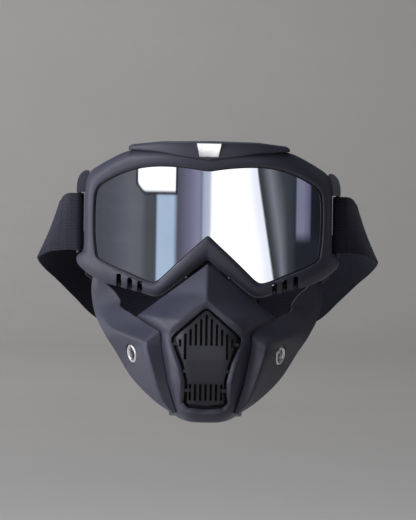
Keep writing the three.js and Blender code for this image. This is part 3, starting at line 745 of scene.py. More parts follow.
def light_screen_finish():
    """Soft strips of light standing round the front, painted by azimuth and height on the screen."""
    s = Surface("light_screen", "ShaderNodeEmission", Strength=1.0)
    x, y, z = s.parts(s.place())
    azimuth = x.apply("ARCTAN2", y * -1.0) * (180 / math.pi)

    def rising(value, low, high):
        return s.spread(value, low, high, 0.0, 1.0)

    def falling(value, low, high):
        return s.spread(value, low, high, 1.0, 0.0)

    bow = rising(azimuth, 15.0, 35.0) * falling(azimuth, 50.0, 60.0)
    bowed = azimuth + bow * (z * SCREEN_BOW)
    first, last = SCREEN_STRIPS[0][0], SCREEN_STRIPS[-1][0]
    stops = [((a - first) / (last - first), (*c, 1)) for a, c in SCREEN_STRIPS]
    strips = s.node("ShaderNodeValToRGB", {"stops": stops}, rising(bowed, first, last))
    tone = s.mixed(rising(z, -0.115, -0.08), SCREEN_FOOT, strips)
    left, right = CARD
    corner = falling(azimuth, left, left + 7.0) ** 2.0 * 0.009
    card = (rising(azimuth, left, left + 0.8) * falling(azimuth, right - 0.8, right)
            * rising(z - corner, 0.0185, 0.0205))
    border = (rising(azimuth, left - 1.4, left - 0.8) * falling(azimuth, right + 0.6, right + 1.4)
              * rising(z - corner, 0.0155, 0.0170))
    low_right = rising(azimuth, 61.0, 63.0) * falling(z, -0.026, -0.016)
    high_middle = falling(azimuth.apply("ABSOLUTE"), 9.0, 12.0) * rising(z, 0.047, 0.055)
    for patch, light in ((low_right, (0.018, 0.020, 0.028, 1)), (border, (0.012, 0.012, 0.022, 1)),
                         (high_middle, (2.6, 2.6, 2.65, 1)), (card, (1.25, 1.27, 1.3, 1))):
        tone = s.mixed(patch, tone, light)
    return s.set(Color=tone)


def build_stage():
    steps = 40
    near, run, bend = -9000, 14500, 1600

    def sweep(column, row):
        t = row / steps
        arc = np.clip((t - 0.4) / 0.35, 0, 1) * math.pi / 2
        y = np.where(t < 0.4, near + t / 0.4 * run, near + run + bend * np.sin(arc))
        z = FLOOR / MM + bend * (1 - np.cos(arc)) + np.clip((t - 0.75) / 0.25, 0, 1) * 5000
        return np.stack([(column - 2) * 5000.0, y, z], axis=1)

    floor = shaped_grid("floor_sweep", 4, steps, sweep)
    face_front(floor, (0, -0.6, 0.8))
    floor.data.materials.append(finish("backdrop"))
    smooth(floor, 60)

    columns = 92

    def screen(column, row):
        a = np.radians(-92 + 184 * column / columns)
        return np.stack([1000 * SCREEN_RADIUS * np.sin(a), -1000 * SCREEN_RADIUS * np.cos(a),
                         (row * 2 - 1) * -1000 * SCREEN_HALF], axis=1)

    wall = shaped_grid("light_screen", columns, 1, screen)
    wall.data.materials.append(light_screen_finish())
    wall.visible_camera = False
    wall.visible_shadow = False
    wall.visible_diffuse = False

    def soft_light(name, spot, aim, size, power, colour=(1, 1, 1), glossy=True):
        light = bpy.data.lights.new(name, "AREA")
        light.shape, light.size, light.energy, light.color = "SQUARE", size, power, colour
        obj = bpy.data.objects.new(name, light)
        bpy.context.collection.objects.link(obj)
        obj.location = spot
        obj.rotation_euler = (Vector(aim) - Vector(spot)).to_track_quat("-Z", "Y").to_euler()
        obj.visible_camera = False
        obj.visible_glossy = glossy

    middle = (0, 0, -0.03)
    soft_light("key_left", (-1.35, -0.75, 0.34), middle, 1.0, 27, (0.88, 0.88, 1.0))
    soft_light("side_left", (-1.5, 0.05, -0.08), middle, 0.7, 10, (0.86, 0.86, 1.0))
    soft_light("top_soft", (-0.2, 0.15, 1.5), middle, 1.0, 8, (0.92, 0.92, 1.0))
    soft_light("fill_right", (1.4, 0.1, 0.35), middle, 0.8, 0.8, (0.85, 0.85, 1.0))
    soft_light("backdrop_wash", (-4.6, 2.6, 3.2), (-2.6, 7.1, 0.4), 2.5, 330, (1, 0.995, 0.985), False)
    soft_light("floor_wash", (-1.0, -1.5, 4.5), (0, 0, FLOOR), 4.0, 105, (1, 0.995, 0.985), False)

    world = bpy.data.worlds.new("studio")
    world.use_nodes = True
    ground = world.node_tree.nodes["Background"]
    ground.inputs["Color"].default_value = (0.95, 0.96, 1.0, 1)
    ground.inputs["Strength"].default_value = 0.045
    bpy.context.scene.world = world
    bpy.context.scene.view_settings.view_transform = "Standard"

    camera = bpy.data.objects.new("camera", bpy.data.cameras.new("camera"))
    bpy.context.collection.objects.link(camera)
    camera.data.lens, camera.data.sensor_width = 300, 36
    distance, rise, roll = 3.0, math.radians(1.0), math.radians(0.9)
    aim = Vector((0.0003, -0.052, -0.0262))
    spot = aim + Vector((0, -distance * math.cos(rise), distance * math.sin(rise)))
    camera.location = spot
    look = (aim - spot).to_track_quat("-Z", "Y").to_matrix().to_4x4()
    camera.matrix_world = Matrix.Translation(spot) @ look @ Matrix.Rotation(roll, 4, "Z")
    camera.data.clip_start, camera.data.clip_end = 0.1, 60
    bpy.context.scene.camera = camera


# ---- goggles ----
def frame_section(width):
    return [(0, -0.4), (0.25, -1.7), (1.0, -2.6), (2.3, -3.2), (0.5 * width, -3.15), (0.62 * width, -2.8),
            (width - 1.2, -0.7), (width - 0.2, 0.6), (width, 1.9), (width, FRAME_DEPTH),
            (SEAT, FRAME_DEPTH), (SEAT, FRAME_DEPTH - WALL), (width - WALL, FRAME_DEPTH - WALL),
            (width - WALL, 2.8), (SEAT, 2.8), (SEAT, -0.4)]


def envelope_section(width):
    return [(-0.2, -0.6), (0, -2.0), (2, -3.45), (0.56 * width, -3.3), (width - 1, -0.9),
            (width + 0.25, 1.4), (width + 0.25, FRAME_DEPTH + 0.3), (-0.2, FRAME_DEPTH + 0.3)]


def build_frame():
    shell = ring("goggle_frame", frame_section)
    tools = []
    for side in (-1, 1):
        for x, top in VENT_NOTCHES:
            notch = block("notch", (side * x, float(lens_y(x)) + 1.5, top - 8), (3.6, 12, 16))
            modify(notch, "BEVEL", width=1.1 * MM, segments=3)
            tools.append(notch)
    for x in TOP_VENTS:
        vent = block("vent", (x, float(lens_y(x)) + 8, 50), (14, 4, 12))
        modify(vent, "BEVEL", width=0.8 * MM, segments=2)
        tools.append(vent)
    cut_away(shell, *tools)
    round_edges(shell, 0.35 * MM, 2, 35)
    settle(shell, "goggles", "frame_plastic", "frame_plastic", "frame")


def build_lens():
    rows = 12
    columns = 160
    reach = OPENING + OUTWARDS * 2.6
    widest = int(np.argmax(reach[:STATIONS // 2, 0]))
    upper, lower = reach[:widest + 1], reach[widest:STATIONS // 2 + 1][::-1]
    half = reach[widest, 0] - 0.4

    def spot(column, row):
        x = half * np.sin((column / columns * 2 - 1) * math.pi / 2)
        top = np.interp(np.abs(x), upper[:, 0], upper[:, 1])
        bottom = np.interp(np.abs(x), lower[:, 0], lower[:, 1])
        return np.stack([x, lens_y(x), top + (bottom - top) * row / rows], axis=1)

    lens = shaped_grid("lens_mirror", columns, rows, spot)
    face_front(lens, (0, -1, 0))
    modify(lens, "SOLIDIFY", thickness=sizes().lens_thickness, offset=-1)
    settle(lens, "goggles", "mirror", "mirror_lens", "lens", angle=35)
    lens.data.materials.append(finish("smoke"))
    for face in lens.data.polygons:
        if face.normal.y > 0.3:
            face.material_index = 1

    seal = ring("lens_seal", lambda width: [
        (-0.85, -0.45), (-0.55, -0.75), (0.25, -0.75), (0.25, -0.35), (2.2, -0.15), (2.2, 0.0),
        (-0.75, -0.08)])
    settle(seal, "goggles", "rubber", "rubber")
    gasket = softened_copy("lens_gasket", "lens_gasket_ring", 0.3 * MM)
    settle(gasket, "goggles", "rubber", "rubber", "lens_gasket")


def smooth_steps(value, low, high):
    t = np.clip((value - low) / (high - low), 0, 1)
    return t * t * (3 - 2 * t)


def build_brow():
    half = 56.0
    stations = 112
    top_line = [(0, 56.2), (33, 55.6), (54.6, 53.2), (half, 51.6)]
    crease_line = [(0, 42.8), (17.5, 45.2), (34, 48.2), (half, 50)]
    top_at = blurred([(-k, v) for k, v in top_line[:0:-1]] + top_line, 1, 1.2)
    crease_at = blurred([(-k, v) for k, v in crease_line[:0:-1]] + crease_line, 1, 0.8)

    def section(x):
        crease = crease_at(x)
        rise = top_at(x) - crease
        front = lens_y(x) - (6 - 2.8 * np.abs(x) / half)
        back = lens_y(x) + FRAME_DEPTH
        top = crease + rise
        return [(front + 3.4, crease - 0.6), (front + 0.9, crease - 0.35), (front + 0.1, crease + 0.25),
                (front, crease + 0.12 * rise), (front + 0.4, top - 0.45 * rise),
                (front + 0.9, top - 0.2 * rise), (front + 1.5, top - 0.07 * rise),
                (front + 2.5, top - 0.01 * rise), (front + 3.7, top), (back - 2, top - 0.06 * rise),
                (back, top - 0.22 * rise), (back, crease - 0.6)]

    points = 12

    def spot(column, row):
        x = (column / stations * 2 - 1) * half
        rows = section(x)
        ys = np.stack([r[0] for r in rows])
        zs = np.stack([r[1] for r in rows])
        j = row % points
        k = np.arange(len(x))
        return np.stack([x, ys[j, k], zs[j, k]], axis=1)

    cover = looped_grid("brow_cover_shell", stations, points, spot)
    pocket = outline_slab("pocket", [(-9.1, 54.9), (9.1, 54.9), (7.2, 44.4), (-7.2, 44.4)], -64, 7.3)
    cut_away(cover, ring("envelope", envelope_section), pocket)
    round_edges(cover, 0.5 * MM, 3, 40)
    settle(cover, "goggles", "frame_plastic", "frame_plastic", "brow_cover")

    badge = softened_copy("badge", "brow_badge", 0.35 * MM, 3, 25)
    settle(badge, "goggles", "satin_badge", "bright_metal", "badge")


def swell(pad, limit):
    """Blows a pad up slightly as cloth, then holds every point within limit of where it began."""
    before = coordinates(pad)
    pick(pad)
    bpy.ops.object.modifier_add(type="CLOTH")
    cloth = pad.modifiers[-1]
    cloth.settings.use_pressure = True
    cloth.settings.uniform_pressure_force = 4
    cloth.settings.quality = 5
    cloth.settings.effector_weights.gravity = 0
    for number in range(1, 21):
        bpy.context.scene.frame_set(number)
    bpy.ops.object.modifier_apply(modifier=cloth.name)
    bpy.context.scene.frame_set(1)
    move = coordinates(pad) - before
    length = np.maximum(np.linalg.norm(move, axis=1, keepdims=True), 1e-9)
    move_vertices(pad, before + move * np.minimum(1, limit / length))


def remeshed(obj, voxel):
    pick(obj)
    obj.data.remesh_voxel_size = voxel
    bpy.ops.object.voxel_remesh()


def build_foam():
    def outer(width):
        return np.minimum(width - 1.5, 8.5)

    pad = ring("face_foam_pad", lambda width: [
        (1.8, FOAM_FRONT + 0.2), (outer(width) - 0.6, FOAM_FRONT + 0.2),
        (outer(width) - 0.1, FOAM_FRONT + 0.5 * FOAM_DEPTH), (outer(width), FOAM_FRONT + FOAM_DEPTH - 3),
        (outer(width) - 1.4, FOAM_FRONT + FOAM_DEPTH - 0.5), (2.4, FOAM_FRONT + FOAM_DEPTH - 0.5),
        (1.5, FOAM_FRONT + FOAM_DEPTH - 3), (1.5, FOAM_FRONT + 0.5 * FOAM_DEPTH)])
    remeshed(pad, 2.6 * MM)
    swell(pad, sizes().foam_swell)
    modify(pad, "SUBSURF", levels=1, render_levels=1)
    settle(pad, "goggles", "foam", "foam", "face_foam", angle=80)

    liner = ring("face_fleece", lambda width: [
        (2.0, LINER_FRONT), (outer(width) - 0.6, LINER_FRONT), (outer(width) - 0.5, LINER_FRONT + 0.7),
        (outer(width) - 1.2, LINER_FRONT + 1.5), (0.5 * outer(width) + 1, LINER_FRONT + 1.75),
        (2.8, LINER_FRONT + 1.5), (2.0, LINER_FRONT + 0.7)])
    modify(liner, "SUBSURF", levels=1, render_levels=1)
    settle(liner, "goggles", "fleece", "fleece", "foam_liner", angle=80)

    for node in ("upper_vent_foam", "lower_vent_foam_left", "lower_vent_foam_right"):
        strip = softened_copy(node, node.replace("foam", "strip"), 0.35 * MM, 2, 40)
        settle(strip, "goggles", "foam", "foam", node)

    arch = [(0, -25.2), (14.5, -37.2), (14.5, -46.4), (0, -34.4), (-14.5, -46.4), (-14.5, -37.2)]
    nose = outline_slab("nose_foam_pad", arch, LENS_FRONT + 4, 10)
    round_edges(nose, 0.6 * MM, 3)
    settle(nose, "goggles", "foam", "foam", "nose_foam", angle=60)


def build_outriggers():
    slot_top = STRAP_MIDDLE + 20.6
    curve = evenly(flowing([(84, 34.6), (87, 34.6), (90.4, 31.5), (92.2, 26.5), (92.6, slot_top + 1)],
                           np.linspace(0, 4, 200)), 26)
    for side, name in SIDES:
        outline = [(side * x, z) for x, z in [*curve, (92.6, slot_top), (83.4, slot_top)]]
        front = float(lens_y(88))
        lump = outline_slab("outrigger_arm_" + name, outline, front + 0.2, 7.4)
        cut_away(lump, ring("envelope", envelope_section))
        round_edges(lump, 1.9 * MM, 5, 40)
        deselect()
        bpy.ops.mesh.primitive_cylinder_add(
            vertices=32, radius=POST_RADIUS * MM, depth=44.2 * MM,
            location=(side * POST[0] * MM, POST[1] * MM, STRAP_MIDDLE * MM))
        post = bpy.context.object
        modify(post, "BEVEL", width=0.3 * MM, segments=2, limit_method="ANGLE")
        joined(lump, post)
        settle(lump, "goggles", "frame_plastic", "frame_plastic", "outrigger_" + name)


# ---- strap ----
STRAP_ROUTE = [
    (100.5, 3, -1.6, -0.1), (107.5, 20, -4, -0.3), (112.8, 42, -9.9, -0.42), (108, 66, -18.2, -0.46),
    (97.6, 86, -28.4, -0.44), (84.6, 101, -41.7, -0.34), (69.9, 111, -55.6, -0.2),
    (REAR_RUN + 4, 114, -61, -0.05), (REAR_RUN, 114, -62, 0), (0, 114, -62, 0),
]
LEAN = math.pi / 4
OUTWARD = np.array([math.cos(LEAN), math.sin(LEAN)])
FORWARD = np.array([math.sin(LEAN), -math.cos(LEAN)])


def loop_spot(reach, offset):
    flat = POST + OUTWARD * reach + FORWARD * offset
    return [flat[0], flat[1], STRAP_MIDDLE, 0.0]


def centripetal(rows, steps=40):
    """A curve through the rows' first three columns with no overshoot; the fourth is mixed evenly."""
    p = np.array(rows, float)
    p = np.vstack([2 * p[0] - p[1], p, 2 * p[-1] - p[-2]])
    out = []
    for i in range(1, len(p) - 2):
        a, b, c, d = (p[i + k][:3] for k in (-1, 0, 1, 2))
        t0, t1, t2 = (math.sqrt(np.linalg.norm(q - r)) for q, r in ((b, a), (c, b), (d, c)))
        v1 = ((b - a) / t0 - (c - a) / (t0 + t1) + (c - b) / t1) * t1
        v2 = ((c - b) / t1 - (d - b) / (t1 + t2) + (d - c) / t2) * t1
        w = np.arange(steps) / steps
        lean = p[i][3] + (p[i + 1][3] - p[i][3]) * w
        out.append(np.column_stack([hermite(b, c, v1, v2, w), lean]))
    return np.vstack([*out, p[-2][None, :]])


def strap_run():
    """Middle line of the band on the right, from its post to the middle of the back of the head."""
    return centripetal([*(loop_spot(reach, LOOP_RADIUS) for reach in (0, 2.7, 5.4)), *STRAP_ROUTE])


def strap_half():
    """Middle line of the band on the right: sewn tail, loop round the post, then back round the head."""
    main = strap_run()
    run = travelled(main[:, :3])
    tail = []
    for reach in np.linspace(SEWN_TAIL, 0.4, 22):
        row = np.array([np.interp(reach, run, main[:, k]) for k in range(4)])
        ahead = np.array([np.interp(reach + 0.5, run, main[:, k]) for k in range(2)])
        heading = (ahead - row[:2]) / np.linalg.norm(ahead - row[:2])
        gap = 2.0 + (2 * LOOP_RADIUS - 2.0) * (1 - smooth_steps(reach, 0.0, 10.0))
        row[:2] -= np.array([heading[1], -heading[0]]) * gap
        tail.append(row)
    turn = np.linspace(math.pi, 0, 12)[:-1]
    loop = [loop_spot(-LOOP_RADIUS * math.sin(a), LOOP_RADIUS * math.cos(a)) for a in turn]
    return np.vstack([tail, loop, main])


def strap_frames(path):
    """Run, up and outward directions along a path whose fourth column leans its top inwards."""
    run = np.gradient(path[:, :3], axis=0)
    run /= np.linalg.norm(run, axis=1, keepdims=True)
    up = np.column_stack([path[:, 3], np.zeros(len(path)), np.ones(len(path))])
    up -= run * np.sum(up * run, axis=1, keepdims=True)
    up /= np.linalg.norm(up, axis=1, keepdims=True)
    return run, up, np.cross(run, up)


def build_strap():
    half = strap_half()
    mirrored = half[-2::-1] * [-1, 1, 1, -1]
    whole = evenly(np.vstack([half, mirrored]), STRAP_STEPS)
    run, up, out = strap_frames(whole)
    width, thick = sizes().strap_width / MM / 2, sizes().strap_thickness / MM / 2
    pitch = sizes().rib_pitch / MM
    face = np.linspace(-width + 0.5, width - 0.5, 55)
    rib = 0.10 * np.cos(2 * math.pi * face / pitch)
    section = [(a, thick + r) for a, r in zip(face, rib)]
    section += [(width - 0.1, thick * 0.6), (width, 0.0), (width - 0.1, -thick * 0.6)]
    section += [(a, -thick - r) for a, r in zip(face[::-1], rib[::-1])]
    section += [(-width + 0.1, -thick * 0.6), (-width, 0.0), (-width + 0.1, thick * 0.6)]
    section = np.array(section)
    points = len(section)

    def spot(column, row):
        a, b = section[row % points].T
        return whole[column, :3] + up[column] * a[:, None] + out[column] * b[:, None]

    band = looped_grid("strap_webbing", len(whole) - 1, points, spot)
    length = np.linalg.norm(np.diff(whole[:, :3], axis=0), axis=1).sum() * MM
    girth = np.linalg.norm(np.diff(section, axis=0), axis=1).sum() * MM
    uv = band.data.uv_layers.active.data
    flat = np.empty(len(uv) * 2)
    uv.foreach_get("uv", flat)
    uv.foreach_set("uv", (flat.reshape(-1, 2) * [length, girth]).ravel())
    settle(band, None, "webbing", "webbing", "strap", "strap_end_left", "strap_end_right", angle=50)
    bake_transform(band)

    stitch_rows = np.array([9.0, 21.0])
    count = sizes().stitches
    main = strap_run()
    run_m, up_m, out_m = strap_frames(main)
    reach = travelled(main[:, :3])
    deselect()
    bpy.ops.mesh.primitive_uv_sphere_add(segments=8, ring_count=5, radius=1)
    seed = bpy.context.object
    shape = np.array([v.co for v in seed.data.vertices]) * [0.22, 0.22, 1.05]
    faces = [tuple(p.vertices) for p in seed.data.polygons]
    bpy.data.objects.remove(seed)
    vertices, polygons = [], []
    for side in (1, -1):
        for distance in stitch_rows:
            k = int(np.argmin(np.abs(reach - distance)))
            for number in range(count):
                up_by = (number / (count - 1) * 2 - 1) * (width - 2.2)
                centre = main[k, :3] + up_m[k] * up_by + out_m[k] * (thick + 0.16)
                solid = centre + shape @ np.array([run_m[k], out_m[k], up_m[k]])
                base = len(vertices)
                vertices += [tuple(v) for v in solid * [side * MM, MM, MM]]
                polygons += [tuple(base + i for i in (f if side > 0 else f[::-1])) for f in faces]
    thread = bpy.data.objects.new("strap_stitching", bpy.data.meshes.new("strap_stitching"))
    thread.data.from_pydata(vertices, [], polygons)
    bpy.context.collection.objects.link(thread)
    edit(thread, turn_faces_out)
    settle(thread, None, "thread", "webbing", angle=60)
    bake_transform(thread)

    for node in ("strap_grip_upper", "strap_grip_lower"):
        grip = softened_copy(node, node + "_bead", 0.3 * MM, 3)
        settle(grip, "head_strap", "rubber", "rubber", node)


def build_sliders():
    for side in ("left", "right"):
        slider = softened_copy("strap_slider_" + side, "adjuster_" + side, 0.7 * MM, 3)
        settle(slider, "slider_" + side, "hard_plastic", "hard_plastic", "strap_slider_" + side)


# ---- mask ----
SPINE = [(-137.5, -72), (-133, -78), (-127, -80.5), (-110, -83), (-94, -82.5), (-80, -80.5), (-66, -77.5),
         (-53, -73), (-41, -66), (-29, -58)]
CREASE = [(-137.5, 12, 4), (-131.5, 18.8, 10), (-122.5, 22.2, 13), (-112, 25.2, 15), (-101, 27.5, 17),
          (-92, 29.2, 18), (-84, 30.4, 19), (-76.6, 31.6, 21), (-65.3, 47.5, 40), (-29, 1, 1)]
MOUTH_EDGE = [(47.5, -65.3, -29), (40, -70.6, -37), (31.6, -76.6, -47), (30.4, -84, -60), (29.2, -92, -74),
              (27.5, -101, -90), (25.2, -112, -106), (22.4, -122.5, -121), (21.6, -133.4, -137.2)]
RECESS_RIM = [(0, -52.1), (23, -70.4), (27.2, -77), (27.4, -82), (21, -97), (18, -109), (18, -119),
              (18, -126), (13.5, -130.6), (0, -132.6)]
RECESS_FLOOR = [(0, -58), (21, -76), (24, -79.6), (24, -82), (17.6, -97), (14.4, -109), (14.4, -118),
                (15.2, -124), (12, -127.4), (0, -128.8)]
PANEL = [(0, -60.3), (18.6, -76.6), (21.3, -80), (15.4, -97), (12.4, -109), (12.4, -119), (12.6, -124.4),
         (0, -126)]
spine_y = blurred(SPINE, 1, 2.0)
crease_half = blurred(CREASE, 1, 0.8)
crease_fall = blurred(CREASE, 2, 1.2)


def face_y(x, z):
    """Depth of the mask's front over the mouth."""
    x, z = np.asarray(x, float), np.asarray(z, float)
    across = np.sqrt(x * x + 0.8) - math.sqrt(0.8)
    flat = 1 + 3 * smooth_steps(-z, 48, 84)
    return spine_y(z) + crease_fall(z) * (across / crease_half(z)) ** flat


def mirrored_outline(half, per_edge=24, soften=8):
    """A closed outline from its right half, with its corners eased."""
    loop = np.array(list(half) + [(-x, z) for x, z in half[::-1] if x > 0], float)
    ahead = np.roll(loop, -1, 0)
    fine = np.concatenate([a + (b - a) * np.linspace(0, 1, per_edge, endpoint=False)[:, None]
                           for a, b in zip(loop, ahead)])
    return eased(fine, soften)


FLANGE = 3.5  # the mouth piece's edges reach this far sideways behind the cheek wings
FLANGE_BACK = 5.5
THROUGH_MASK = (-100, 60)  # front and depth of a cutter that passes through the whole front of the mask


def build_mouth_piece():
    columns, rows, chin_rows, flange = 72, 100, 5, 4
    keyed = [(i / (len(MOUTH_EDGE) - 1), *row) for i, row in enumerate(MOUTH_EDGE)]
    level_at = [blurred(keyed, k, 0.03, 0.005) for k in (1, 2, 3)]
    widest = 1 + 2 * flange / columns

    def spot(column, row):
        past = np.clip((column - flange) / columns * 2 - 1, -widest, widest)
        side = np.clip(past, -1, 1)
        tuck = (past - side) * columns / 2 / flange
        level = np.minimum(row / rows, 1)
        edge_x, edge_z, spine_z = (f(level) for f in level_at)
        ahead_x, ahead_z = (f(level + 0.02) for f in level_at[:2])
        length = np.hypot(ahead_x - edge_x, ahead_z - edge_z)
        x = side * edge_x
        z = spine_z + (edge_z - spine_z) * np.abs(side) ** (1 + 2.2 * level ** 3)
        y = face_y(x, z) + FLANGE_BACK * np.abs(tuck)
        x = x + FLANGE * tuck * (edge_z - ahead_z) / length
        z = z + FLANGE * np.abs(tuck) * (ahead_x - edge_x) / length
        turn = np.clip((row - rows) / chin_rows, 0, 1)
        drop = 1.2 * np.sin(turn * math.pi / 2)
        return np.stack([x * (1 - 0.04 * turn), y + 13 * turn ** 1.6, z - drop], axis=1)

    shell = shaped_grid("mouth_piece", columns + 2 * flange, rows + chin_rows, spot)
    face_front(shell, (0, -1, 0))
    thickened(shell, WALL)
    rim = mirrored_outline(RECESS_RIM)
    cut_away(shell, outline_slab("recess", rim * 0.995 + [0, -0.45], *THROUGH_MASK))
    round_edges(shell, 0.5 * MM, 2, 50)
    settle(shell, "mask", "mask_plastic", "mask_plastic", "mask_shell")

    floor = mirrored_outline(RECESS_FLOOR)
    steps = [(0.0, -0.12), (0.25, 0.25), (0.55, 1.2), (0.85, 2.2), (1.0, RECESS_DEPTH),
             (1.0, RECESS_DEPTH + WALL), (0.0, WALL + 1)]

    def bevel_spot(column, row):
        t, depth = np.array(steps)[row % len(steps)].T
        k = column % len(rim)
        flat = rim[k] + (floor[k] - rim[k]) * t[:, None]
        return np.stack([flat[:, 0], face_y(flat[:, 0], flat[:, 1]) + depth, flat[:, 1]], axis=1)

    recess = looped_grid("grille_recess", len(rim), len(steps), bevel_spot)
    round_edges(recess, 0.3 * MM, 2, 45)
    settle(recess, "mask", "mask_plastic", "mask_plastic")


CHEEK = [
    [(76, -39.5, 0), (77.4, -39.5, 0.6), (80.5, -39.5, 2)],
    [(70.4, -45.3, -9), (77.2, -46.6, -3), (81.5, -47, 0)],
    [(65.5, -49.4, -16), (76.4, -53, -7), (81, -54, -3)],
    [(60.7, -55.8, -23), (74.6, -60, -12), (79.7, -61.5, -7)],
    [(60.2, -60.2, -27), (71.6, -68.4, -20), (77, -69, -13)],
    [(54, -63.8, -36), (66, -75.2, -30.5), (73.5, -75.6, -19)],
    [(47, -67.9, -45), (58.5, -78, -42), (69.5, -82.3, -24)],
    [(40, -72, -53.5), (50.8, -80.6, -54), (64.2, -90, -26)],
    [(32.6, -76.2, -62), (43.6, -83.2, -64.5), (59.5, -97.8, -27)],
    [(31.4, -84, -63.6), (42.3, -88, -67.5), (56.3, -102.8, -31)],
    [(30.2, -92, -65.6), (40.3, -94.5, -69.5), (52.8, -107.6, -36)],
    [(28.5, -101, -67.3), (37.8, -102, -70.5), (48.6, -112.3, -42)],
    [(26.2, -112, -69), (34.2, -112.6, -71.2), (42.3, -118.2, -51)],
    [(23.3, -122.2, -69.8), (29.6, -123, -71), (33.8, -125, -61)],
    [(20.2, -131.4, -69.6), (22.6, -131.6, -69), (25.4, -130.6, -64.5)],
]
CHEEK_TABLE = np.array([[(x, y, z) for x, z, y in station] for station in CHEEK], float)
RIDGE_EASE = 0.07  # how far, across a cheek, the facet ridge is rounded to either side
RIVET_AT = (0.77, 8.2)  # place across the cheek, and station down it
RIVET_FLANGE = 6.7
RIVET_BARREL = 4.9
RIVET_BORE = 4.2
RIVET_SEAT = 0.9


def folded(inner, ridge, outer, a):
    """Straight from inner to ridge, then straight on to outer, as a goes from 0 to 1."""
    return np.where(a < 0.5, inner + (ridge - inner) * a * 2, ridge + (outer - ridge) * (a * 2 - 1))


def cheek_spot(across, station):
    """A point of the right cheek: across from its inner edge, past the facet ridge, to its outer edge."""
    across, station = np.broadcast_arrays(np.asarray(across, float), np.asarray(station, float))
    lines = [flowing(CHEEK_TABLE[:, k], station.ravel()) for k in range(3)]
    a = across.ravel()[:, None]
    soft = sum(weight * folded(*lines, np.clip(a + shift, 0, 1))
               for shift, weight in ((-RIDGE_EASE, 0.25), (0.0, 0.5), (RIDGE_EASE, 0.25)))
    return np.where(np.minimum(a, 1 - a) < RIDGE_EASE, folded(*lines, a), soft)


def rivet_frame():
    """Where the right rivet sits, and the direction into the cheek."""
    a, s = RIVET_AT
    spot = cheek_spot(a, s)[0]
    across = cheek_spot(a + 0.1, s)[0] - cheek_spot(a - 0.1, s)[0]
    down = cheek_spot(a, s + 0.4)[0] - cheek_spot(a, s - 0.4)[0]
    inward = np.cross(across, down)
    return spot, inward / np.linalg.norm(inward)


def turned(name, profile, side, sides=64):
    """A turned piece on the rivet's axis from rows of (radius, depth); the profile closes on itself."""
    spot, inward = rivet_frame()
    first = np.cross(inward, [0, 0, 1])
    first /= np.linalg.norm(first)
    second = np.cross(inward, first)
    rows = np.array(profile, float)

    def place(column, row):
        r, depth = rows[row % len(rows)].T
        a = 2 * math.pi * (column % sides) / sides
        around = np.outer(r * np.cos(a), first) + np.outer(r * np.sin(a), second)
        return (spot + np.outer(depth, inward) + around) * [side, 1, 1]

    return looped_grid(name, sides, len(rows), place)


def build_cheeks():
    rows, columns = 112, 48
    for side, name in SIDES:
        def spot(column, row):
            co = cheek_spot(column / columns, row / rows * (len(CHEEK) - 1))
            return co * [side, 1, 1]

        wing = shaped_grid("cheek_wing_" + name, columns, rows, spot)
        face_front(wing, (side * 0.5, -0.8, 0))
        thickened(wing, WALL)
        seat, bore = (
            turned(tool, [(0.001, -6), (radius, -6), (radius, depth), (0.001, depth)], side)
            for tool, radius, depth in (("seat", RIVET_FLANGE + 0.35, RIVET_SEAT),
                                        ("bore", RIVET_BARREL + 0.3, 12)))
        cut_away(wing, seat, bore)
        round_edges(wing, 0.45 * MM, 3, 50)
        settle(wing, "mask", "mask_plastic", "mask_plastic", "cheek_panel_" + name)


def build_rivets():
    for side, name in SIDES:
        eyelet = turned("eyelet_" + name, [
            (RIVET_BORE, 0.5), (RIVET_BORE + 0.15, 0.0), (RIVET_BORE + 0.7, -0.5), (RIVET_BORE + 1.3, -0.68),
            (RIVET_FLANGE - 0.6, -0.55), (RIVET_FLANGE - 0.15, -0.25), (RIVET_FLANGE, 0.1),
            (RIVET_FLANGE, RIVET_SEAT - 0.15), (RIVET_BARREL, RIVET_SEAT - 0.15), (RIVET_BARREL, 5.4),
            (RIVET_BARREL - 0.15, 5.6), (RIVET_BORE + 0.1, 5.6), (RIVET_BORE, 5.4)], side)
        settle(eyelet, "mask", "nickel", "bright_metal", "rivet_" + name, angle=50)
        washer = turned("washer_" + name, [
            (RIVET_BARREL + 0.3, WALL + 1.1), (RIVET_BARREL + 0.4, WALL + 1), (RIVET_FLANGE - 0.1, WALL + 1),
            (RIVET_FLANGE, WALL + 1.1), (RIVET_FLANGE, WALL + 1.9), (RIVET_FLANGE - 0.1, WALL + 2),
            (RIVET_BARREL + 0.4, WALL + 2), (RIVET_BARREL + 0.3, WALL + 1.9)], side)
        settle(washer, "mask", "nickel", "bright_metal", "rivet_washer_" + name, angle=50)


UPPER_SLOTS = [(0, -63.6, -84.7), (1, -66.6, -84.7), (2, -70, -84.7), (3, -73.4, -84.7), (4, -76.6, -94.3),
               (5, -80.6, -85.6)]
LOWER_SLOTS = (3, -111, -122.5)
BRIDGES = [(22.6, -84), (15.8, -102.5), (14.4, -115.5)]
SLOT_PITCH = 3.6
MESH_DEPTH = RECESS_DEPTH + WALL + 0.5


def mask_sheet(name, half, top, height, depth, thickness, outline):
    """A sheet that follows the mask's front at a depth behind it, trimmed to an outline."""
    columns, rows = 60, 80

    def spot(column, row):
        x = (column / columns * 2 - 1) * half
        z = top - height * row / rows
        return np.stack([x, face_y(x, z) + depth, z], axis=1)

    sheet = shaped_grid(name, columns, rows, spot)
    face_front(sheet, (0, -1, 0))
    thickened(sheet, thickness)
    cut_away(sheet, outline_slab("edge", outline, *THROUGH_MASK), operation="INTERSECT")
    return sheet


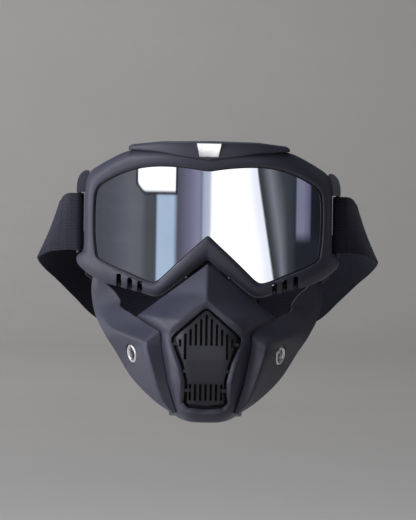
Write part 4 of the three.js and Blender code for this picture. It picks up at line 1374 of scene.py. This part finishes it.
def build_grille():
    width = sizes().slot_width / MM
    panel = mask_sheet("breathing_grille", 24, -58, 70.0, RECESS_DEPTH, 2.0, mirrored_outline(PANEL, 24, 4))
    tools = []
    for number, top, bottom in UPPER_SLOTS:
        tools += [(s * number * SLOT_PITCH, top, bottom) for s in ((1, -1) if number else (1,))]
    count, top, bottom = LOWER_SLOTS
    tools += [(k * SLOT_PITCH, top, bottom) for k in range(-count, count + 1)]
    for x, top, bottom in tools:
        cut_away(panel, block("slot", (x, -78, (top + bottom) / 2), (width, 40, top - bottom)))
    round_edges(panel, 0.22 * MM, 2, 50)
    # The grille takes the darker finish, which is painted shade for its recess.
    settle(panel, "mask", "grille_plastic_painted_dark", "mask_plastic", "grille")

    floor = mirrored_outline(RECESS_FLOOR)
    middle = floor.mean(axis=0)
    grown = middle + (floor - middle) * (1 + 1.8 / np.linalg.norm(floor - middle, axis=1, keepdims=True))
    mesh = mask_sheet("grille_mesh", 27, -54, 78.0, MESH_DEPTH, 0.6, grown)
    settle(mesh, "mask", "mesh", "filter_felt")

    bridges = []
    for end, z in BRIDGES:
        for side in (1, -1):
            x = side * (end - 2.3)
            y = float(face_y(x, z)) + RECESS_DEPTH + 1.3
            bridge = block("bridge", (x, y, z), (4.6, 1.6, 2.2))
            modify(bridge, "BEVEL", width=0.35 * MM, segments=2)
            bridges.append(bridge)
    joined(*bridges)
    bridges[0].name = "grille_bridges"
    settle(bridges[0], "mask", "grille_plastic_painted_dark", "mask_plastic")

    felt = softened_copy("filter_pad", "filter_felt", 0.7 * MM, 3, 40)
    settle(felt, "mask", "felt", "filter_felt", "filter_pad")
    retainer = softened_copy("filter_retainer", "filter_clamp", 0.3 * MM)
    settle(retainer, "mask", "hard_plastic", "hard_plastic", "filter_retainer")


def build_fittings():
    for side in ("left", "right"):
        clip = softened_copy("clip_" + side, "snap_tab_" + side, 0.45 * MM, 3)
        settle(clip, "mask", "hard_plastic", "hard_plastic", "clip_" + side)
    chin = softened_copy("chin_pad", "chin_foam", 0, 1)
    modify(chin, "SUBSURF", levels=2, render_levels=2)
    settle(chin, "mask", "foam", "foam", "chin_pad", angle=80)


# ---- operators ----
STEPS = [
    ("stage", "Stage", "Backdrop, light screen, soft lights and camera", build_stage),
    ("frame", "Frame", "Moulded goggle frame with its vents", build_frame),
    ("lens", "Lens", "Mirror lens with its seal and gasket", build_lens),
    ("brow", "Brow", "Brow cover and the plain badge set in it", build_brow),
    ("foam", "Foam", "Face foam, fleece liner, vent strips and nose pad", build_foam),
    ("outriggers", "Outriggers", "Strap outriggers with their posts", build_outriggers),
    ("strap", "Strap", "Elastic band with sewn ends and grip beads", build_strap),
    ("sliders", "Sliders", "Length adjusters on the strap", build_sliders),
    ("mouth", "Mouth piece", "Front of the mask with the grille recess", build_mouth_piece),
    ("cheeks", "Cheeks", "Cheek wings of the mask", build_cheeks),
    ("rivets", "Rivets", "Hollow rivets and washers", build_rivets),
    ("grille", "Grille", "Slotted grille, filter and clamp", build_grille),
    ("fittings", "Fittings", "Snap tabs and chin pad", build_fittings),
]


def step_operator(key, label, words, build):
    def execute(self, context):
        build()
        return {"FINISHED"}

    return type("GOGGLES_OT_" + key, (bpy.types.Operator,), {
        "__doc__": words, "bl_idname": "goggles." + key, "bl_label": label,
        "bl_options": {"REGISTER", "UNDO"}, "execute": execute,
    })


OPERATORS = [step_operator(*step) for step in STEPS]


class GOGGLES_PT_panel(bpy.types.Panel):
    """Lists the steps that build the goggles."""

    bl_label = "Goggles"
    bl_idname = "GOGGLES_PT_panel"
    bl_space_type = "VIEW_3D"
    bl_region_type = "UI"
    bl_category = "Goggles"

    def draw(self, context):
        for operator in OPERATORS:
            self.layout.operator(operator.bl_idname)


CLASSES = [GoggleSizes, GoggleColours, *OPERATORS, GOGGLES_PT_panel]


def register():
    for cls in CLASSES:
        bpy.utils.register_class(cls)
    bpy.types.Scene.goggle_sizes = PointerProperty(type=GoggleSizes)
    bpy.types.Scene.goggle_colours = PointerProperty(type=GoggleColours)


def unregister():
    del bpy.types.Scene.goggle_colours
    del bpy.types.Scene.goggle_sizes
    for cls in reversed(CLASSES):
        bpy.utils.unregister_class(cls)


def main():
    register()
    for key, *_ in STEPS:
        getattr(bpy.ops.goggles, key)()
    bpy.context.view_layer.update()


if __name__ == "__main__":
    main()
